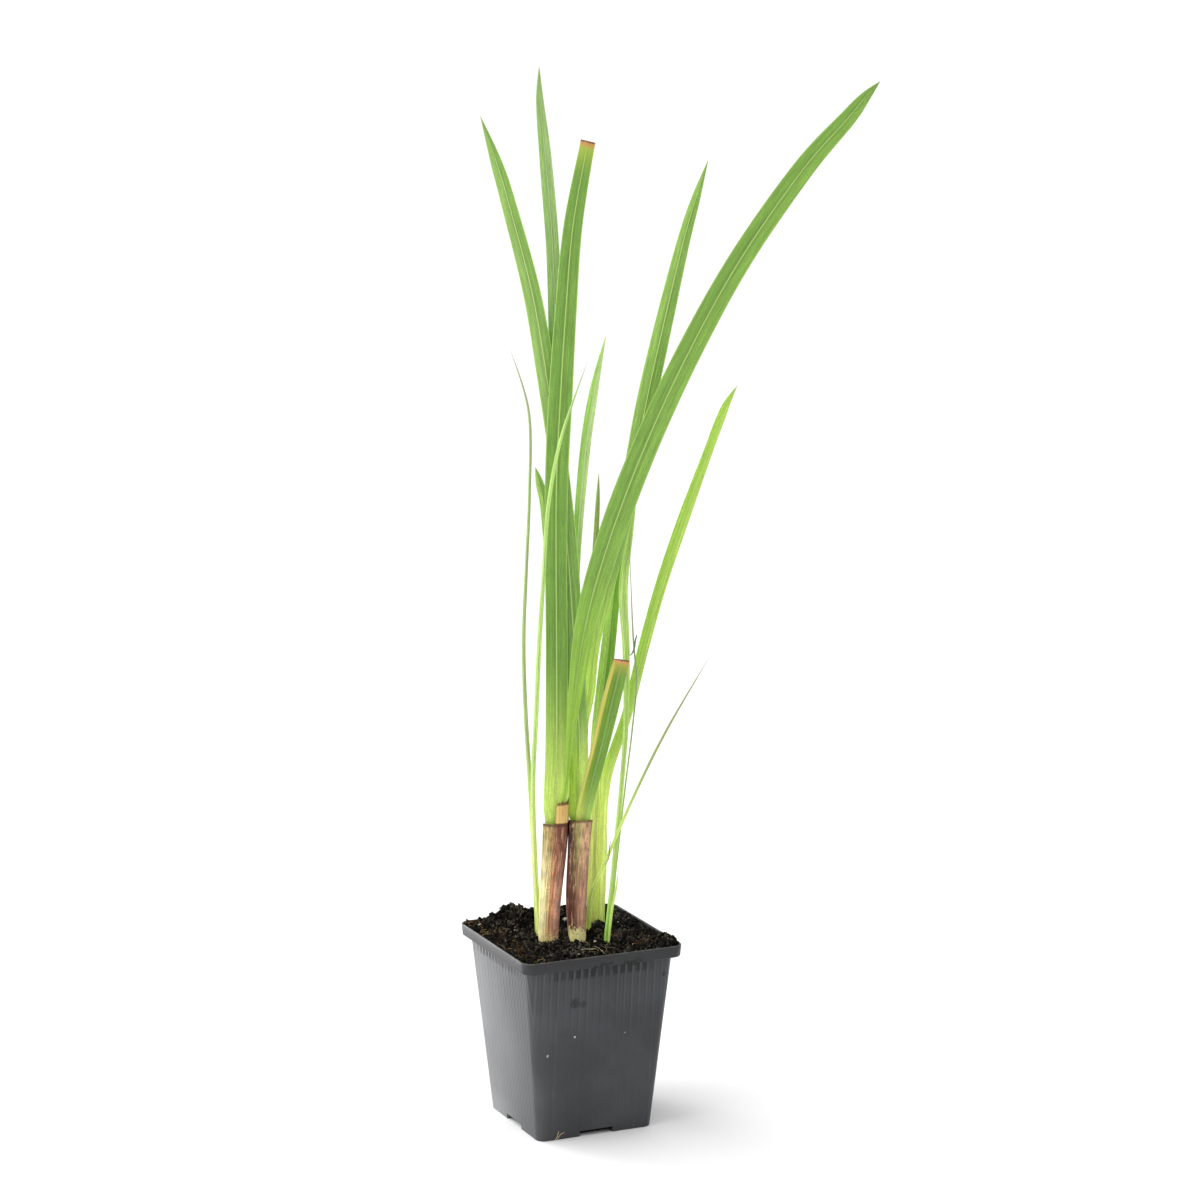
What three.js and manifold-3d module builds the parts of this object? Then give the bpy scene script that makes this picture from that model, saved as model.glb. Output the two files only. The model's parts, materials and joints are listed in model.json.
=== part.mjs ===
// Potted crimson flag lily in leaf: fans of sword leaves and a few thin blades in a square nursery pot.
// Millimetres, +Z up. The origin is the middle of the pot's underside.
import * as THREE from 'three';
import { mergeVertices } from 'three/addons/utils/BufferGeometryUtils.js';
import Module from 'manifold-3d';

const wasm = await Module();
wasm.setup();

// Pot, a tapered square with a collar round its mouth
const POT_HEIGHT = 100;
const RIM_HALF = 45;
const COLLAR_HEIGHT = 6.2;
const COLLAR_FLARE = 0.4;
const WALL_TOP_HALF = 41.1;
const BASE_HALF = 32.3;
const POT_WALL = 1;
const FLOOR = 1.2;
const RIM_RADIUS = 6;
const BASE_RADIUS = 4.5;
const NOTCH_WIDTH = 19;
const NOTCH_HEIGHT = 3;
const NOTCH_DEPTH = 7;

// Soil, filled to just under the rim
const GAP = 0.35;
const SOIL_LEVEL = 98.6;
const SOIL_RINGS = 12;
const CRUMB_HEIGHT = 0.6;
const CRUMB_PITCH = 5.5;
// Each mound is [x, y, height, radius]
const MOUNDS = [
  [-19, 33, 10, 9.5],
  [-35, 37, 1.4, 7],
  [-2, 35, 3.6, 7.5],
  [13, 35, 4, 9],
  [-37, 10, 0.8, 9],
  [14, -3, 6.5, 6],
  [38, -34, 3.6, 6],
];

// The fans stand turned to the sides of the pot
const PLANT_TURN = THREE.MathUtils.degToRad(-24.3);
const ROOT_LEVEL = 91;
const SOCKET_TOP = 118;
const SOCKET_STEP = 0.02;
const STEPS_PER_SPAN = 3;

// How finely the square rings are divided, at each corner and along each side
const POT_STEPS = { corner: 7, side: 1 };
const SOIL_STEPS = { corner: 4, side: 9 };
const SLEEVE_SIDES = 24;
const SLEEVE_POWER = 3;

// Cross-sections of the blades, as fractions of half the width and half the thickness
const SWORD = [[1, 0], [0.55, 0.7], [0, 1], [-0.55, 0.7], [-1, 0], [-0.55, -0.7], [0, -1], [0.55, -0.7]];
const THREAD = [[1, 0], [0, 1], [-1, 0], [0, -1]];
const SLOT = [[1, -1], [1, 1], [-1, 1], [-1, -1]];

// Leaves of the left shoot, of the right shoot and of the small shoots at the right.
// Each point is [across, behind, height, width], where across runs along the fans and behind runs
// away from their front.
const LEAVES = {
  leaf_arching: {
    thick: 1, color: 0x7db148, section: SWORD, sheathed: true,
    points: [
      [-10.2, -9.6, 91, 2.4], [-7.6, -9.6, 130, 2.4], [-4.6, -9.6, 160, 2.2], [-3.6, -10, 173, 2],
      [-1.8, -10.7, 184, 2], [-0.8, -11.2, 195, 3], [1.6, -12.8, 222, 6.2], [8.7, -15.6, 270, 11.4],
      [22, -18.9, 317, 13.4], [39.7, -22.4, 364, 13.2], [60.6, -26, 410, 12.6], [85.6, -29, 456, 11.6],
      [115.6, -31.5, 500, 10.6], [137.6, -33, 525.6, 8.2], [146, -33.6, 536, 5.2], [153.4, -34, 544, 0],
    ],
  },
  leaf_trimmed_tall: {
    thick: 1.1, color: 0x6fa044, section: SWORD, slant: 0.05, sheathed: true,
    points: [
      [-11.6, -7.7, 91, 6], [-8.8, -7.7, 145, 9], [-7.7, -7.9, 160, 10.5], [-8, -8.2, 169.5, 11.3],
      [-6.8, -8.7, 180.5, 13.3], [-6.9, -6.8, 205, 11.5], [-6.8, -5.2, 250, 10.9], [-7, -4.4, 295, 11.3],
      [-6.7, -3.4, 340, 11.9], [-4.6, -2.5, 383, 12.2], [-1.8, -1.6, 427, 11], [1.9, -0.9, 470, 9.6],
      [9.5, 0, 512, 7.4],
    ],
  },
  leaf_tallest: {
    thick: 1, color: 0x7fb260, section: SWORD, sheathed: true,
    points: [
      [-11.6, -4.4, 91, 4.5], [-8.7, -4.4, 148, 5.8], [-8.1, -4.2, 165, 7], [-7.6, -1.6, 208, 8],
      [-7.1, 0.6, 255, 7.8], [-6.7, 2.2, 310, 7.4], [-6.8, 3.6, 359, 7], [-7.2, 4.8, 407, 6.9],
      [-8.4, 5.8, 455, 6.7], [-11.8, 6.8, 500, 6.3], [-14.8, 7.5, 532, 3.8], [-15.1, 8, 549.5, 0],
    ],
  },
  leaf_short_left: {
    thick: 0.6, color: 0x79ad3f, section: THREAD, sheathed: true,
    points: [
      [-10.5, -6.05, 91, 2.6], [-9.4, -6, 162, 3], [-9.6, -4.8, 208, 3], [-9.8, -3.6, 255, 2.8],
      [-10.4, -3.1, 290, 4], [-12.7, -2.6, 325, 4.6], [-15.2, -2.3, 338, 4.2], [-17.7, -2.1, 347.2, 0],
    ],
  },
  leaf_far_left: {
    thick: 1.1, color: 0x7bac4a, section: SWORD, sheathed: true,
    points: [
      [3.9, -7.9, 91, 5], [4.4, -8, 140, 7], [4.95, -7.9, 159.5, 8.6], [4.65, -7.6, 166.5, 10.3],
      [4.2, -6.9, 179, 10.9],
      [4.5, -5.8, 209, 9.2], [2, -3.7, 255, 9.6], [-1, -2, 300, 10.6], [-5.4, -0.2, 346, 9.6],
      [-11.6, 1, 391, 9.6], [-19, 2.2, 435, 9.1], [-30.6, 3.6, 480, 7.6], [-36.8, 4.4, 501, 5.9],
      [-45, 5.2, 525, 0],
    ],
  },
  leaf_right_back: {
    thick: 0.9, color: 0x73a83f, section: SWORD, sheathed: true,
    points: [
      [3.9, -6.4, 91, 3], [4.6, -6.4, 150, 4], [5, -6.2, 165, 4.4], [6.4, -4.5, 208, 5],
      [9.8, -4.1, 229, 5.8], [13, -4.2, 257, 5.8], [22.2, -4.8, 299, 8.4], [31.2, -6, 340, 9.6],
      [38.9, -7.5, 381, 10.1], [47.8, -8.8, 422, 8.9], [57.2, -9.6, 462, 6.6], [63.4, -10, 484, 4.5],
      [69.7, -10.2, 504, 0],
    ],
  },
  leaf_middle: {
    thick: 0.7, color: 0x8bc453, section: SWORD, sheathed: true,
    points: [
      [3.9, -3.9, 91, 2.8], [4.2, -3.9, 150, 3.4], [4.3, -3.7, 165, 3.6], [3.7, -1.3, 208, 3.6],
      [2.9, 0.5, 255, 3.8], [3.2, 2.4, 298, 4.4], [7.4, 5.6, 351, 5.3], [12.4, 7.8, 385, 4.4],
      [18.8, 9.6, 414.2, 0],
    ],
  },
  leaf_young: {
    thick: 0.5, color: 0x6f8f3c, section: THREAD, sheathed: true,
    points: [
      [5.6, -5, 91, 2], [6.2, -5, 150, 2.2], [6.4, -4.8, 165, 2.4], [8.1, -2.9, 208, 2.4],
      [10.1, -2.2, 253, 2.6], [12.6, -2.6, 297, 3], [13.8, -2.9, 319, 2.7], [14.4, -3.1, 332, 2],
      [14.9, -3.2, 345, 0],
    ],
  },
  leaf_trimmed_short: {
    thick: 1.2, color: 0x66973e, section: SWORD, slant: -0.12, sheathed: true,
    points: [
      [4.1, -9.7, 91, 3.8], [5, -9.6, 140, 5.4], [6.3, -9.5, 160, 7.1], [8.2, -10.1, 173, 8],
      [15.2, -12.6, 201.5, 8.8], [20.8, -14.6, 226, 9.5], [26.5, -16.4, 249.5, 8.4],
    ],
  },
  side_leaf_dark: {
    thick: 0.9, color: 0x64993a, section: SWORD,
    points: [
      [11.6, 9.4, 91, 5.2], [11.7, 9.4, 110, 6.4], [13.2, 8.7, 155, 7.4], [14.4, 7.2, 199, 7.8],
      [17.3, 6.2, 229, 7.8], [20.4, 5.4, 258, 7.2], [23.6, 4.8, 287, 6], [32.4, 3.8, 344, 0],
    ],
  },
  side_leaf_right: {
    thick: 0.9, color: 0x96c83c, section: SWORD,
    points: [
      [14.2, 12, 91, 5], [14.6, 12, 110, 5.8], [15.6, 12.2, 144, 6], [18.6, 12.5, 180, 5.6],
      [29.5, 12.7, 214.5, 5.4], [37.8, 13, 249, 5.7], [47.1, 13.4, 283, 6], [58.4, 14.2, 317, 6],
      [70.6, 15.1, 351, 4.8], [76.8, 15.5, 368, 4.6], [80.8, 15.8, 377.5, 3.4], [85.9, 16, 386.4, 0],
    ],
  },
  side_sheath: {
    thick: 0.6, color: 0xb5d264, section: THREAD,
    points: [[16.4, 14, 91, 2.6], [16.6, 14, 110, 3], [17.6, 13.9, 140, 3], [18.8, 13.6, 170, 0]],
  },
  edge_leaf: {
    thick: 0.7, color: 0x86bb49, section: SWORD,
    points: [
      [17.6, -14, 91, 1.6], [19, -12.8, 105, 2.2], [21.6, -10.2, 128.5, 2.5], [27.4, -6.6, 191, 2.5],
      [29, -5.6, 222, 3.1], [28.8, -4.3, 253, 3.8], [27.4, -2.6, 284, 4.6], [31.2, -1, 314, 2.8],
      [35.4, 0.2, 344.5, 0],
    ],
  },
  thread_blade: {
    thick: 0.4, color: 0x8f9f78, section: THREAD,
    points: [
      [19, -11.4, 91, 1], [22.8, -8.4, 128, 1], [25.6, -6, 154, 0.9], [28.7, -4.8, 181.5, 0.9],
      [31.9, -4.4, 208.5, 0.9], [34.1, -4, 235, 0.9], [32.3, -4, 262, 0.8], [30.2, -3.4, 315, 0],
    ],
  },
  thread_tip: {
    thick: 0.4, color: 0x7a8a5a, section: THREAD,
    points: [[19.2, -15.9, 91, 1.1], [21.4, -14, 114, 1.2], [23.8, -12.6, 128, 1.1], [25.3, -12, 139, 0]],
  },
  blade_left_back: {
    thick: 0.7, color: 0xb5cf8c, section: THREAD,
    points: [
      [-17.3, 1.8, 91, 2.4], [-17.5, 1.8, 105, 2.4], [-19.1, 1.8, 144, 2.5], [-21, 2, 181.5, 2.4],
      [-23.1, 2.3, 219, 2.2], [-23.9, 2.6, 256, 2], [-22.4, 3, 293.5, 1.8], [-20.6, 3.4, 334, 1.5],
      [-21, 3.8, 375, 1.3], [-31.2, 4, 409, 0],
    ],
  },
  blade_left_front: {
    thick: 0.7, color: 0xb5cf8c, section: THREAD,
    points: [
      [-16.3, -1.2, 91, 2.4], [-16.6, -1.3, 105, 2.6], [-18.5, -3.2, 144, 2.6], [-19.2, -5, 181.5, 2.5],
      [-17.4, -6.8, 219, 2.4], [-15.7, -8.6, 256, 2.4], [-13.3, -10.2, 292, 2.1], [-10.7, -11.8, 328.5, 2],
      [-3.9, -13.6, 364.5, 1.7], [10.4, -15.9, 406, 0],
    ],
  },
  blade_right_arching: {
    thick: 0.5, color: 0x9dba62, section: THREAD,
    points: [
      [9.6, 1, 91, 2.4], [9.5, 0.3, 104, 2.6], [10.9, -3.9, 122, 2.4], [18.1, -8.6, 140.5, 1.8],
      [33.1, -11.6, 177, 1.5], [50.3, -12.8, 213, 1.3], [74.4, -14.3, 255.5, 0],
    ],
  },
};

// Cut old leaf sheaths: flattened sleeves round the foot of each fan.
// Each ring is [across, behind, height, half width, half depth].
const SHEATHS = {
  sheath_left: {
    wall: 0.6, color: 0xb98a64,
    rings: [
      [-11.9, -7, 90.7, 4.9, 4.8], [-10.7, -7, 118, 5.5, 5.1], [-8.4, -7, 145, 6.3, 5.2],
      [-7.5, -7, 160.5, 6.5, 5.2],
    ],
    flap: { from: -7.2, to: -1.9, rise: 11.5 },
  },
  sheath_right: {
    wall: 0.6, color: 0x8a5640,
    rings: [
      [4, -7, 90.7, 3.9, 4.8], [3.1, -7, 118, 5.3, 5.1], [4.25, -7, 145, 5.6, 5.2],
      [5.5, -7, 162.5, 6.1, 5.2],
    ],
  },
};

// Point of a smooth curve through the given points, t from 0 to 1, for every number of a point at once
function along(points, t) {
  const last = points.length - 1;
  const span = Math.min(Math.floor(t * last), last - 1);
  const u = t * last - span;
  const near = (step) => points[Math.max(0, Math.min(last, span + step))];
  const [a, b, c, d] = [near(-1), near(0), near(1), near(2)];
  return b.map((start, k) => {
    const end = c[k];
    const leave = (end - a[k]) / 2;
    const arrive = (d[k] - start) / 2;
    const bend = 3 * (end - start) - 2 * leave - arrive;
    const close = 2 * (start - end) + leave + arrive;
    return start + u * (leave + u * (bend + u * close));
  });
}

// Solid through rings of equally many points, each ring counter-clockwise seen from the next one.
// It closes on itself, or ends in a fan at each end.
function loft(rings, { ring = false, start = null, end = null } = {}) {
  const sides = rings[0].length;
  const vertices = rings.flat();
  const triangles = [];
  const joins = ring ? rings.length : rings.length - 1;
  for (let r = 0; r < joins; r += 1) {
    const low = r * sides;
    const high = ((r + 1) % rings.length) * sides;
    for (let k = 0; k < sides; k += 1) {
      const next = (k + 1) % sides;
      triangles.push(low + k, low + next, high + next, low + k, high + next, high + k);
    }
  }
  const fan = (centre, first, forward) => {
    const tip = vertices.push(centre) - 1;
    for (let k = 0; k < sides; k += 1) {
      const next = (k + 1) % sides;
      triangles.push(...(forward ? [tip, first + k, first + next] : [tip, first + next, first + k]));
    }
  };
  if (!ring) {
    fan(start ?? middle(rings[0]), 0, false);
    fan(end ?? middle(rings.at(-1)), (rings.length - 1) * sides, true);
  }
  const geometry = new THREE.BufferGeometry();
  const numbers = vertices.flatMap((v) => v.toArray());
  geometry.setAttribute('position', new THREE.Float32BufferAttribute(numbers, 3));
  geometry.setIndex(triangles);
  geometry.computeVertexNormals();
  return geometry;
}

function middle(points) {
  const sum = points.reduce((total, point) => total.add(point), new THREE.Vector3());
  return sum.divideScalar(points.length);
}

// Square ring with round corners
function squareRing(half, radius, height, steps = POT_STEPS) {
  const corners = [0, 1, 2, 3].map((corner) => {
    const quarter = (corner * Math.PI) / 2;
    const x = Math.cos(quarter + Math.PI / 4) * Math.SQRT2 * (half - radius);
    const y = Math.sin(quarter + Math.PI / 4) * Math.SQRT2 * (half - radius);
    return Array.from({ length: steps.corner }, (_, step) => {
      const angle = quarter + (step / (steps.corner - 1)) * (Math.PI / 2);
      return new THREE.Vector3(x + radius * Math.cos(angle), y + radius * Math.sin(angle), height);
    });
  });
  return corners.flatMap((arc, corner) => {
    const next = corners[(corner + 1) % 4][0];
    const side = Array.from({ length: steps.side - 1 }, (_, step) => (
      arc.at(-1).clone().lerp(next, (step + 1) / steps.side)
    ));
    return [...arc, ...side];
  });
}

function halfAt(height) {
  const share = height / (POT_HEIGHT - COLLAR_HEIGHT);
  return BASE_HALF + (WALL_TOP_HALF - BASE_HALF) * share;
}

function radiusAt(height) {
  return BASE_RADIUS + (RIM_RADIUS - BASE_RADIUS) * (height / POT_HEIGHT);
}

function wallRing(height, inset, steps) {
  return squareRing(halfAt(height) - inset, radiusAt(height) - inset, height, steps);
}

function toManifold(geometry) {
  const bare = geometry.clone();
  bare.deleteAttribute('normal');
  bare.deleteAttribute('uv');
  const merged = mergeVertices(bare, 1e-4);
  return new wasm.Manifold(new wasm.Mesh({
    numProp: 3,
    vertProperties: new Float32Array(merged.attributes.position.array),
    triVerts: new Uint32Array(merged.index.array),
  }));
}

function toGeometry(solid) {
  const mesh = solid.getMesh();
  const geometry = new THREE.BufferGeometry();
  geometry.setAttribute('position', new THREE.BufferAttribute(mesh.vertProperties, 3));
  geometry.setIndex(new THREE.BufferAttribute(mesh.triVerts, 1));
  geometry.computeVertexNormals();
  return geometry;
}

// One moulded shell, with a drain notch in the middle of each side's foot
function potGeometry() {
  const ledge = POT_HEIGHT - COLLAR_HEIGHT;
  const skirtHalf = RIM_HALF - COLLAR_FLARE;
  const shell = loft([
    wallRing(0, 0),
    wallRing(ledge, 0),
    squareRing(skirtHalf, RIM_RADIUS, ledge),
    squareRing(RIM_HALF, RIM_RADIUS, POT_HEIGHT),
    squareRing(RIM_HALF - POT_WALL, RIM_RADIUS - POT_WALL, POT_HEIGHT),
    squareRing(skirtHalf - POT_WALL, RIM_RADIUS - POT_WALL, ledge + POT_WALL),
    wallRing(ledge + POT_WALL, POT_WALL),
    wallRing(FLOOR, POT_WALL),
  ]);
  let solid = toManifold(shell);
  for (let side = 0; side < 4; side += 1) {
    const notch = new THREE.BoxGeometry(NOTCH_WIDTH, 2 * NOTCH_DEPTH, 2 * NOTCH_HEIGHT);
    notch.translate(0, BASE_HALF, 0);
    notch.rotateZ((side * Math.PI) / 2);
    solid = solid.subtract(toManifold(notch));
  }
  return toGeometry(solid);
}

function soilHeight(x, y) {
  const mound = MOUNDS.reduce((sum, [cx, cy, height, radius]) => {
    const far = ((x - cx) ** 2 + (y - cy) ** 2) / radius ** 2;
    return sum + height * Math.exp(-far);
  }, 0);
  const turns = Math.PI / CRUMB_PITCH;
  const crumb = Math.sin((x + 0.6 * y) * turns) * Math.sin((y - 0.4 * x) * turns);
  return SOIL_LEVEL + mound + CRUMB_HEIGHT * crumb;
}

// Soil fills the pot and stands clear of it by a hair, and each shoot has its own socket
function soilGeometry(sockets) {
  const ledge = POT_HEIGHT - COLLAR_HEIGHT + POT_WALL;
  const clear = POT_WALL + GAP;
  const mouth = RIM_HALF - COLLAR_FLARE - clear;
  const rings = [
    wallRing(FLOOR + GAP, clear, SOIL_STEPS),
    wallRing(ledge + GAP, clear, SOIL_STEPS),
    squareRing(mouth, RIM_RADIUS - clear, ledge + GAP, SOIL_STEPS),
  ];
  for (let k = SOIL_RINGS; k > 0; k -= 1) {
    const ring = squareRing(mouth, RIM_RADIUS - clear, 0, SOIL_STEPS);
    ring.forEach((p) => p.multiplyScalar(k / SOIL_RINGS));
    ring.forEach((p) => p.setZ(soilHeight(p.x, p.y)));
    rings.push(ring);
  }
  const top = new THREE.Vector3(0, 0, soilHeight(0, 0));
  let solid = toManifold(loft(rings, { end: top }));
  for (const socket of sockets) {
    solid = solid.subtract(toManifold(socket));
  }
  return toGeometry(solid);
}

// Cross-section of a blade at its point, square to the way it grows
function bladeRing(points, t, section, thick, grow = 0) {
  const [across, behind, height, width] = along(points, t);
  const before = new THREE.Vector3(...along(points, Math.max(0, t - 0.01)));
  const after = new THREE.Vector3(...along(points, Math.min(1, t + 0.01)));
  const grows = after.sub(before).normalize();
  const wide = new THREE.Vector3(0, 1, 0).cross(grows).normalize();
  const deep = grows.clone().cross(wide);
  const taper = Math.min(1, 0.35 + width / 6);
  return section.map(([w, d]) => new THREE.Vector3(across, behind, height)
    .addScaledVector(wide, w * (width / 2 + grow))
    .addScaledVector(deep, d * ((thick * taper) / 2 + grow)));
}

function bladeGeometry({ points, thick, section, slant = 0 }) {
  const spans = (points.length - 1) * STEPS_PER_SPAN;
  const pointed = points.at(-1)[3] === 0;
  const rings = [];
  for (let k = 0; k < (pointed ? spans : spans + 1); k += 1) {
    rings.push(bladeRing(points, k / spans, section, thick));
  }
  if (!pointed) {
    const cut = rings.at(-1);
    const centre = middle(cut);
    cut.forEach((p) => p.setZ(p.z - slant * (p.x - centre.x)));
  }
  const tip = pointed ? new THREE.Vector3(...points.at(-1).slice(0, 3)) : null;
  return loft(rings, { end: tip });
}

// Part of a blade below the soil's surface, a little larger
function bladeSocket({ points, thick }) {
  const rings = [];
  for (let t = 0; along(points, t)[2] < SOCKET_TOP; t += SOCKET_STEP) {
    rings.push(bladeRing(points, t, SLOT, thick, GAP));
  }
  rings[0].forEach((p) => p.setZ(ROOT_LEVEL - GAP));
  return loft(rings);
}

function sleeveRing([across, behind, height, halfWidth, halfDepth], inset) {
  const points = [];
  for (let k = 0; k < SLEEVE_SIDES; k += 1) {
    const angle = (k / SLEEVE_SIDES) * 2 * Math.PI;
    const [c, s] = [Math.cos(angle), Math.sin(angle)];
    const round = (Math.abs(c) ** SLEEVE_POWER + Math.abs(s) ** SLEEVE_POWER) ** (-1 / SLEEVE_POWER);
    points.push(new THREE.Vector3(
      across + c * round * (halfWidth - inset),
      behind + s * round * (halfDepth - inset),
      height,
    ));
  }
  return points;
}

function sheathGeometry({ rings, wall, flap }) {
  const outside = rings.map((ring) => sleeveRing(ring, 0));
  const inside = rings.map((ring) => sleeveRing(ring, wall));
  if (flap) {
    const front = rings.at(-1)[1];
    for (const lip of [outside.at(-1), inside.at(-1)]) {
      const raised = lip.filter((p) => p.y < front && p.x > flap.from && p.x < flap.to);
      raised.forEach((p) => p.setZ(p.z + flap.rise));
    }
  }
  return loft([...outside, ...inside.reverse()], { ring: true });
}

function sheathSocket({ rings }) {
  const socket = rings.map((ring) => sleeveRing(ring, -GAP));
  socket[0].forEach((p) => p.setZ(ROOT_LEVEL - 2 * GAP));
  return loft(socket);
}

function addMesh(group, name, geometry, color, roughness) {
  const mesh = new THREE.Mesh(geometry, new THREE.MeshStandardMaterial({ color, roughness, metalness: 0 }));
  mesh.name = name;
  group.add(mesh);
  return mesh;
}

const plant = new THREE.Group();
plant.rotation.z = PLANT_TURN;
plant.updateMatrix();

const sockets = [];
for (const [name, leaf] of Object.entries(LEAVES)) {
  addMesh(plant, name, bladeGeometry(leaf), leaf.color, 0.5);
  if (!leaf.sheathed) {
    sockets.push(bladeSocket(leaf));
  }
}
for (const [name, sheath] of Object.entries(SHEATHS)) {
  addMesh(plant, name, sheathGeometry(sheath), sheath.color, 0.8);
  sockets.push(sheathSocket(sheath));
}
sockets.forEach((socket) => socket.applyMatrix4(plant.matrix));

const lily = new THREE.Group();
addMesh(lily, 'pot', potGeometry(), 0x3b3d40, 0.45);
addMesh(lily, 'soil', soilGeometry(sockets), 0x2c2218, 0.95);
lily.add(plant);

export default lily;
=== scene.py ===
# %% [markdown]
# # Potted crimson flag lily in leaf
# The plant stands in a square nursery pot: two fans of sword-shaped leaves, each held at its foot by an
# old cut sheath, a small third shoot, and a few thin blades, all rooted in dark crumbly soil.
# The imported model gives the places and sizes. This script dresses it: it makes fine meshes along the
# same lines and gives every piece its colours. The frame comes first, so that all else is set against it.

# %% Load the frame
import json
import math
import bmesh
import bpy
from mathutils import Matrix, Vector, noise

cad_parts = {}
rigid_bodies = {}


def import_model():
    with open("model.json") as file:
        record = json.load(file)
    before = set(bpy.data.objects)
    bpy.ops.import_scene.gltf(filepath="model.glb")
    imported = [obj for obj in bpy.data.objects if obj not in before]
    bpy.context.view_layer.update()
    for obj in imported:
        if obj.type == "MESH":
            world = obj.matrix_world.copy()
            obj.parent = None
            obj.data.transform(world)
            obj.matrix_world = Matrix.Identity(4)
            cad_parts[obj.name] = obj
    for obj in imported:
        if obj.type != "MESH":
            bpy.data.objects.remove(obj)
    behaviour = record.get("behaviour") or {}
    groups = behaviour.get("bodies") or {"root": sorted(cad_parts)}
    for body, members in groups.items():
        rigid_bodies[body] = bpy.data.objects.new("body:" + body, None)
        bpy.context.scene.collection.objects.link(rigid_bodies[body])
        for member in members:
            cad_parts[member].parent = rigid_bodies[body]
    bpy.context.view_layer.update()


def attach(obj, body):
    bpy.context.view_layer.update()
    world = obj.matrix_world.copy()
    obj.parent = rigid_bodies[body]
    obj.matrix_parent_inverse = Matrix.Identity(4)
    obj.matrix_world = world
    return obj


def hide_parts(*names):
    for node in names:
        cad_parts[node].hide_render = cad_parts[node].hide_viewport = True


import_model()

MM = 0.001

# %% [markdown]
# ## Camera, floor and light
# A picture of a slim, tall plant is taken from a little above and from well back, with a long lens, so
# that its upright lines stay nearly parallel. The camera looks at a point in mid-air between the fans.
# Its place follows from two angles and a distance, which is easier to read than three coordinates.

# %% Camera
VIEW_AZIMUTH = math.radians(-24.3)
VIEW_ELEVATION = math.radians(11.06)
VIEW_DISTANCE = 2.0
VIEW_TARGET = Vector((0.03556, 0.04122, 0.26714))
LENS_MM = 113.7
SENSOR_MM = 36

camera = bpy.data.objects.new("camera", bpy.data.cameras.new("camera"))
camera.data.lens = LENS_MM
camera.data.sensor_width = SENSOR_MM
camera.rotation_euler = (math.pi / 2 - VIEW_ELEVATION, 0, VIEW_AZIMUTH)
back = camera.rotation_euler.to_matrix() @ Vector((0, 0, 1))
camera.location = VIEW_TARGET + back * VIEW_DISTANCE
bpy.context.collection.objects.link(camera)
bpy.context.scene.camera = camera
print("camera at", [round(v, 3) for v in camera.location])

# %% [markdown]
# The photo is bright and nearly without shadows: a white sweep, one broad soft light from the left that
# makes the pot's left side pale, and weaker light from the front and above. Large area lights
# and a white world do this. A view transform without a film curve keeps the whites white.

# %% Floor and lights
FLOOR_SIZE = 60.0
WORLD_STRENGTH = 0.8
SUN_STRENGTH = 1.3
SUN_ANGLE = math.radians(60)
SUN_FROM = Vector((-0.9, 0.2, 1.3))


def add_light(name, place, aim, size, power):
    """Soft square light at a place, turned towards a point."""
    lamp = bpy.data.lights.new(name, "AREA")
    lamp.size = size
    lamp.energy = power
    light = bpy.data.objects.new(name, lamp)
    light.location = place
    light.rotation_euler = (Vector(aim) - Vector(place)).to_track_quat("-Z", "Y").to_euler()
    light.visible_camera = False
    bpy.context.collection.objects.link(light)


add_light("left_softbox", (-1.9, 0.1, 0.5), (0, 0, 0.08), 0.9, 8)
add_light("low_back_softbox", (-0.6, 1.1, 0.3), (0, 0, 0.05), 0.6, 11)
sun = bpy.data.objects.new("sun", bpy.data.lights.new("sun", "SUN"))
sun.data.energy = SUN_STRENGTH
sun.data.angle = SUN_ANGLE
sun.rotation_euler = (-SUN_FROM).to_track_quat("-Z", "Y").to_euler()
bpy.context.collection.objects.link(sun)

world = bpy.data.worlds.new("studio")
world.use_nodes = True
sky = world.node_tree
shown = sky.nodes.new("ShaderNodeBackground")
blend = sky.nodes.new("ShaderNodeMixShader")
sky.nodes["Background"].inputs["Color"].default_value = (1, 1, 1, 1)
sky.nodes["Background"].inputs["Strength"].default_value = WORLD_STRENGTH
sky.links.new(sky.nodes.new("ShaderNodeLightPath").outputs["Is Camera Ray"], blend.inputs[0])
sky.links.new(sky.nodes["Background"].outputs[0], blend.inputs[1])
sky.links.new(shown.outputs[0], blend.inputs[2])
sky.links.new(blend.outputs[0], sky.nodes["World Output"].inputs["Surface"])
shown.inputs["Color"].default_value = (1, 1, 1, 1)
bpy.context.scene.world = world
bpy.context.scene.view_settings.view_transform = "Standard"

floor_mesh = bpy.data.meshes.new("floor")
edge = FLOOR_SIZE / 2
floor_corners = [(-edge, -edge, 0), (edge, -edge, 0), (edge, edge, 0), (-edge, edge, 0)]
floor_mesh.from_pydata(floor_corners, [], [(0, 1, 2, 3)])
floor = bpy.data.objects.new("floor", floor_mesh)
bpy.context.collection.objects.link(floor)
print("lights:", len(bpy.data.lights))

# %% [markdown]
# ## Small helpers for node trees
# Every colour and every leaf below comes from a node tree that is built in code. Short helpers keep that
# readable. The first ones add a node, feed its inputs and make a group with named sockets, and one turns
# the values that a colour picker shows into the linear values that nodes want. The others are the few
# steps that nearly every finish repeats: a smooth step, a product of masks, a noise and a mix of colours.

# %% Node helpers
def paint(red, green, blue):
    """Linear colour from values of 0 to 255."""
    def linear(value):
        share = value / 255
        return share / 12.92 if share <= 0.04045 else ((share + 0.055) / 1.055) ** 2.4
    return (linear(red), linear(green), linear(blue), 1.0)


def feed(tree, socket, source):
    """Link a socket or set a value."""
    if isinstance(source, bpy.types.NodeSocket):
        tree.links.new(source, socket)
    elif source is not None:
        socket.default_value = source


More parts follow.
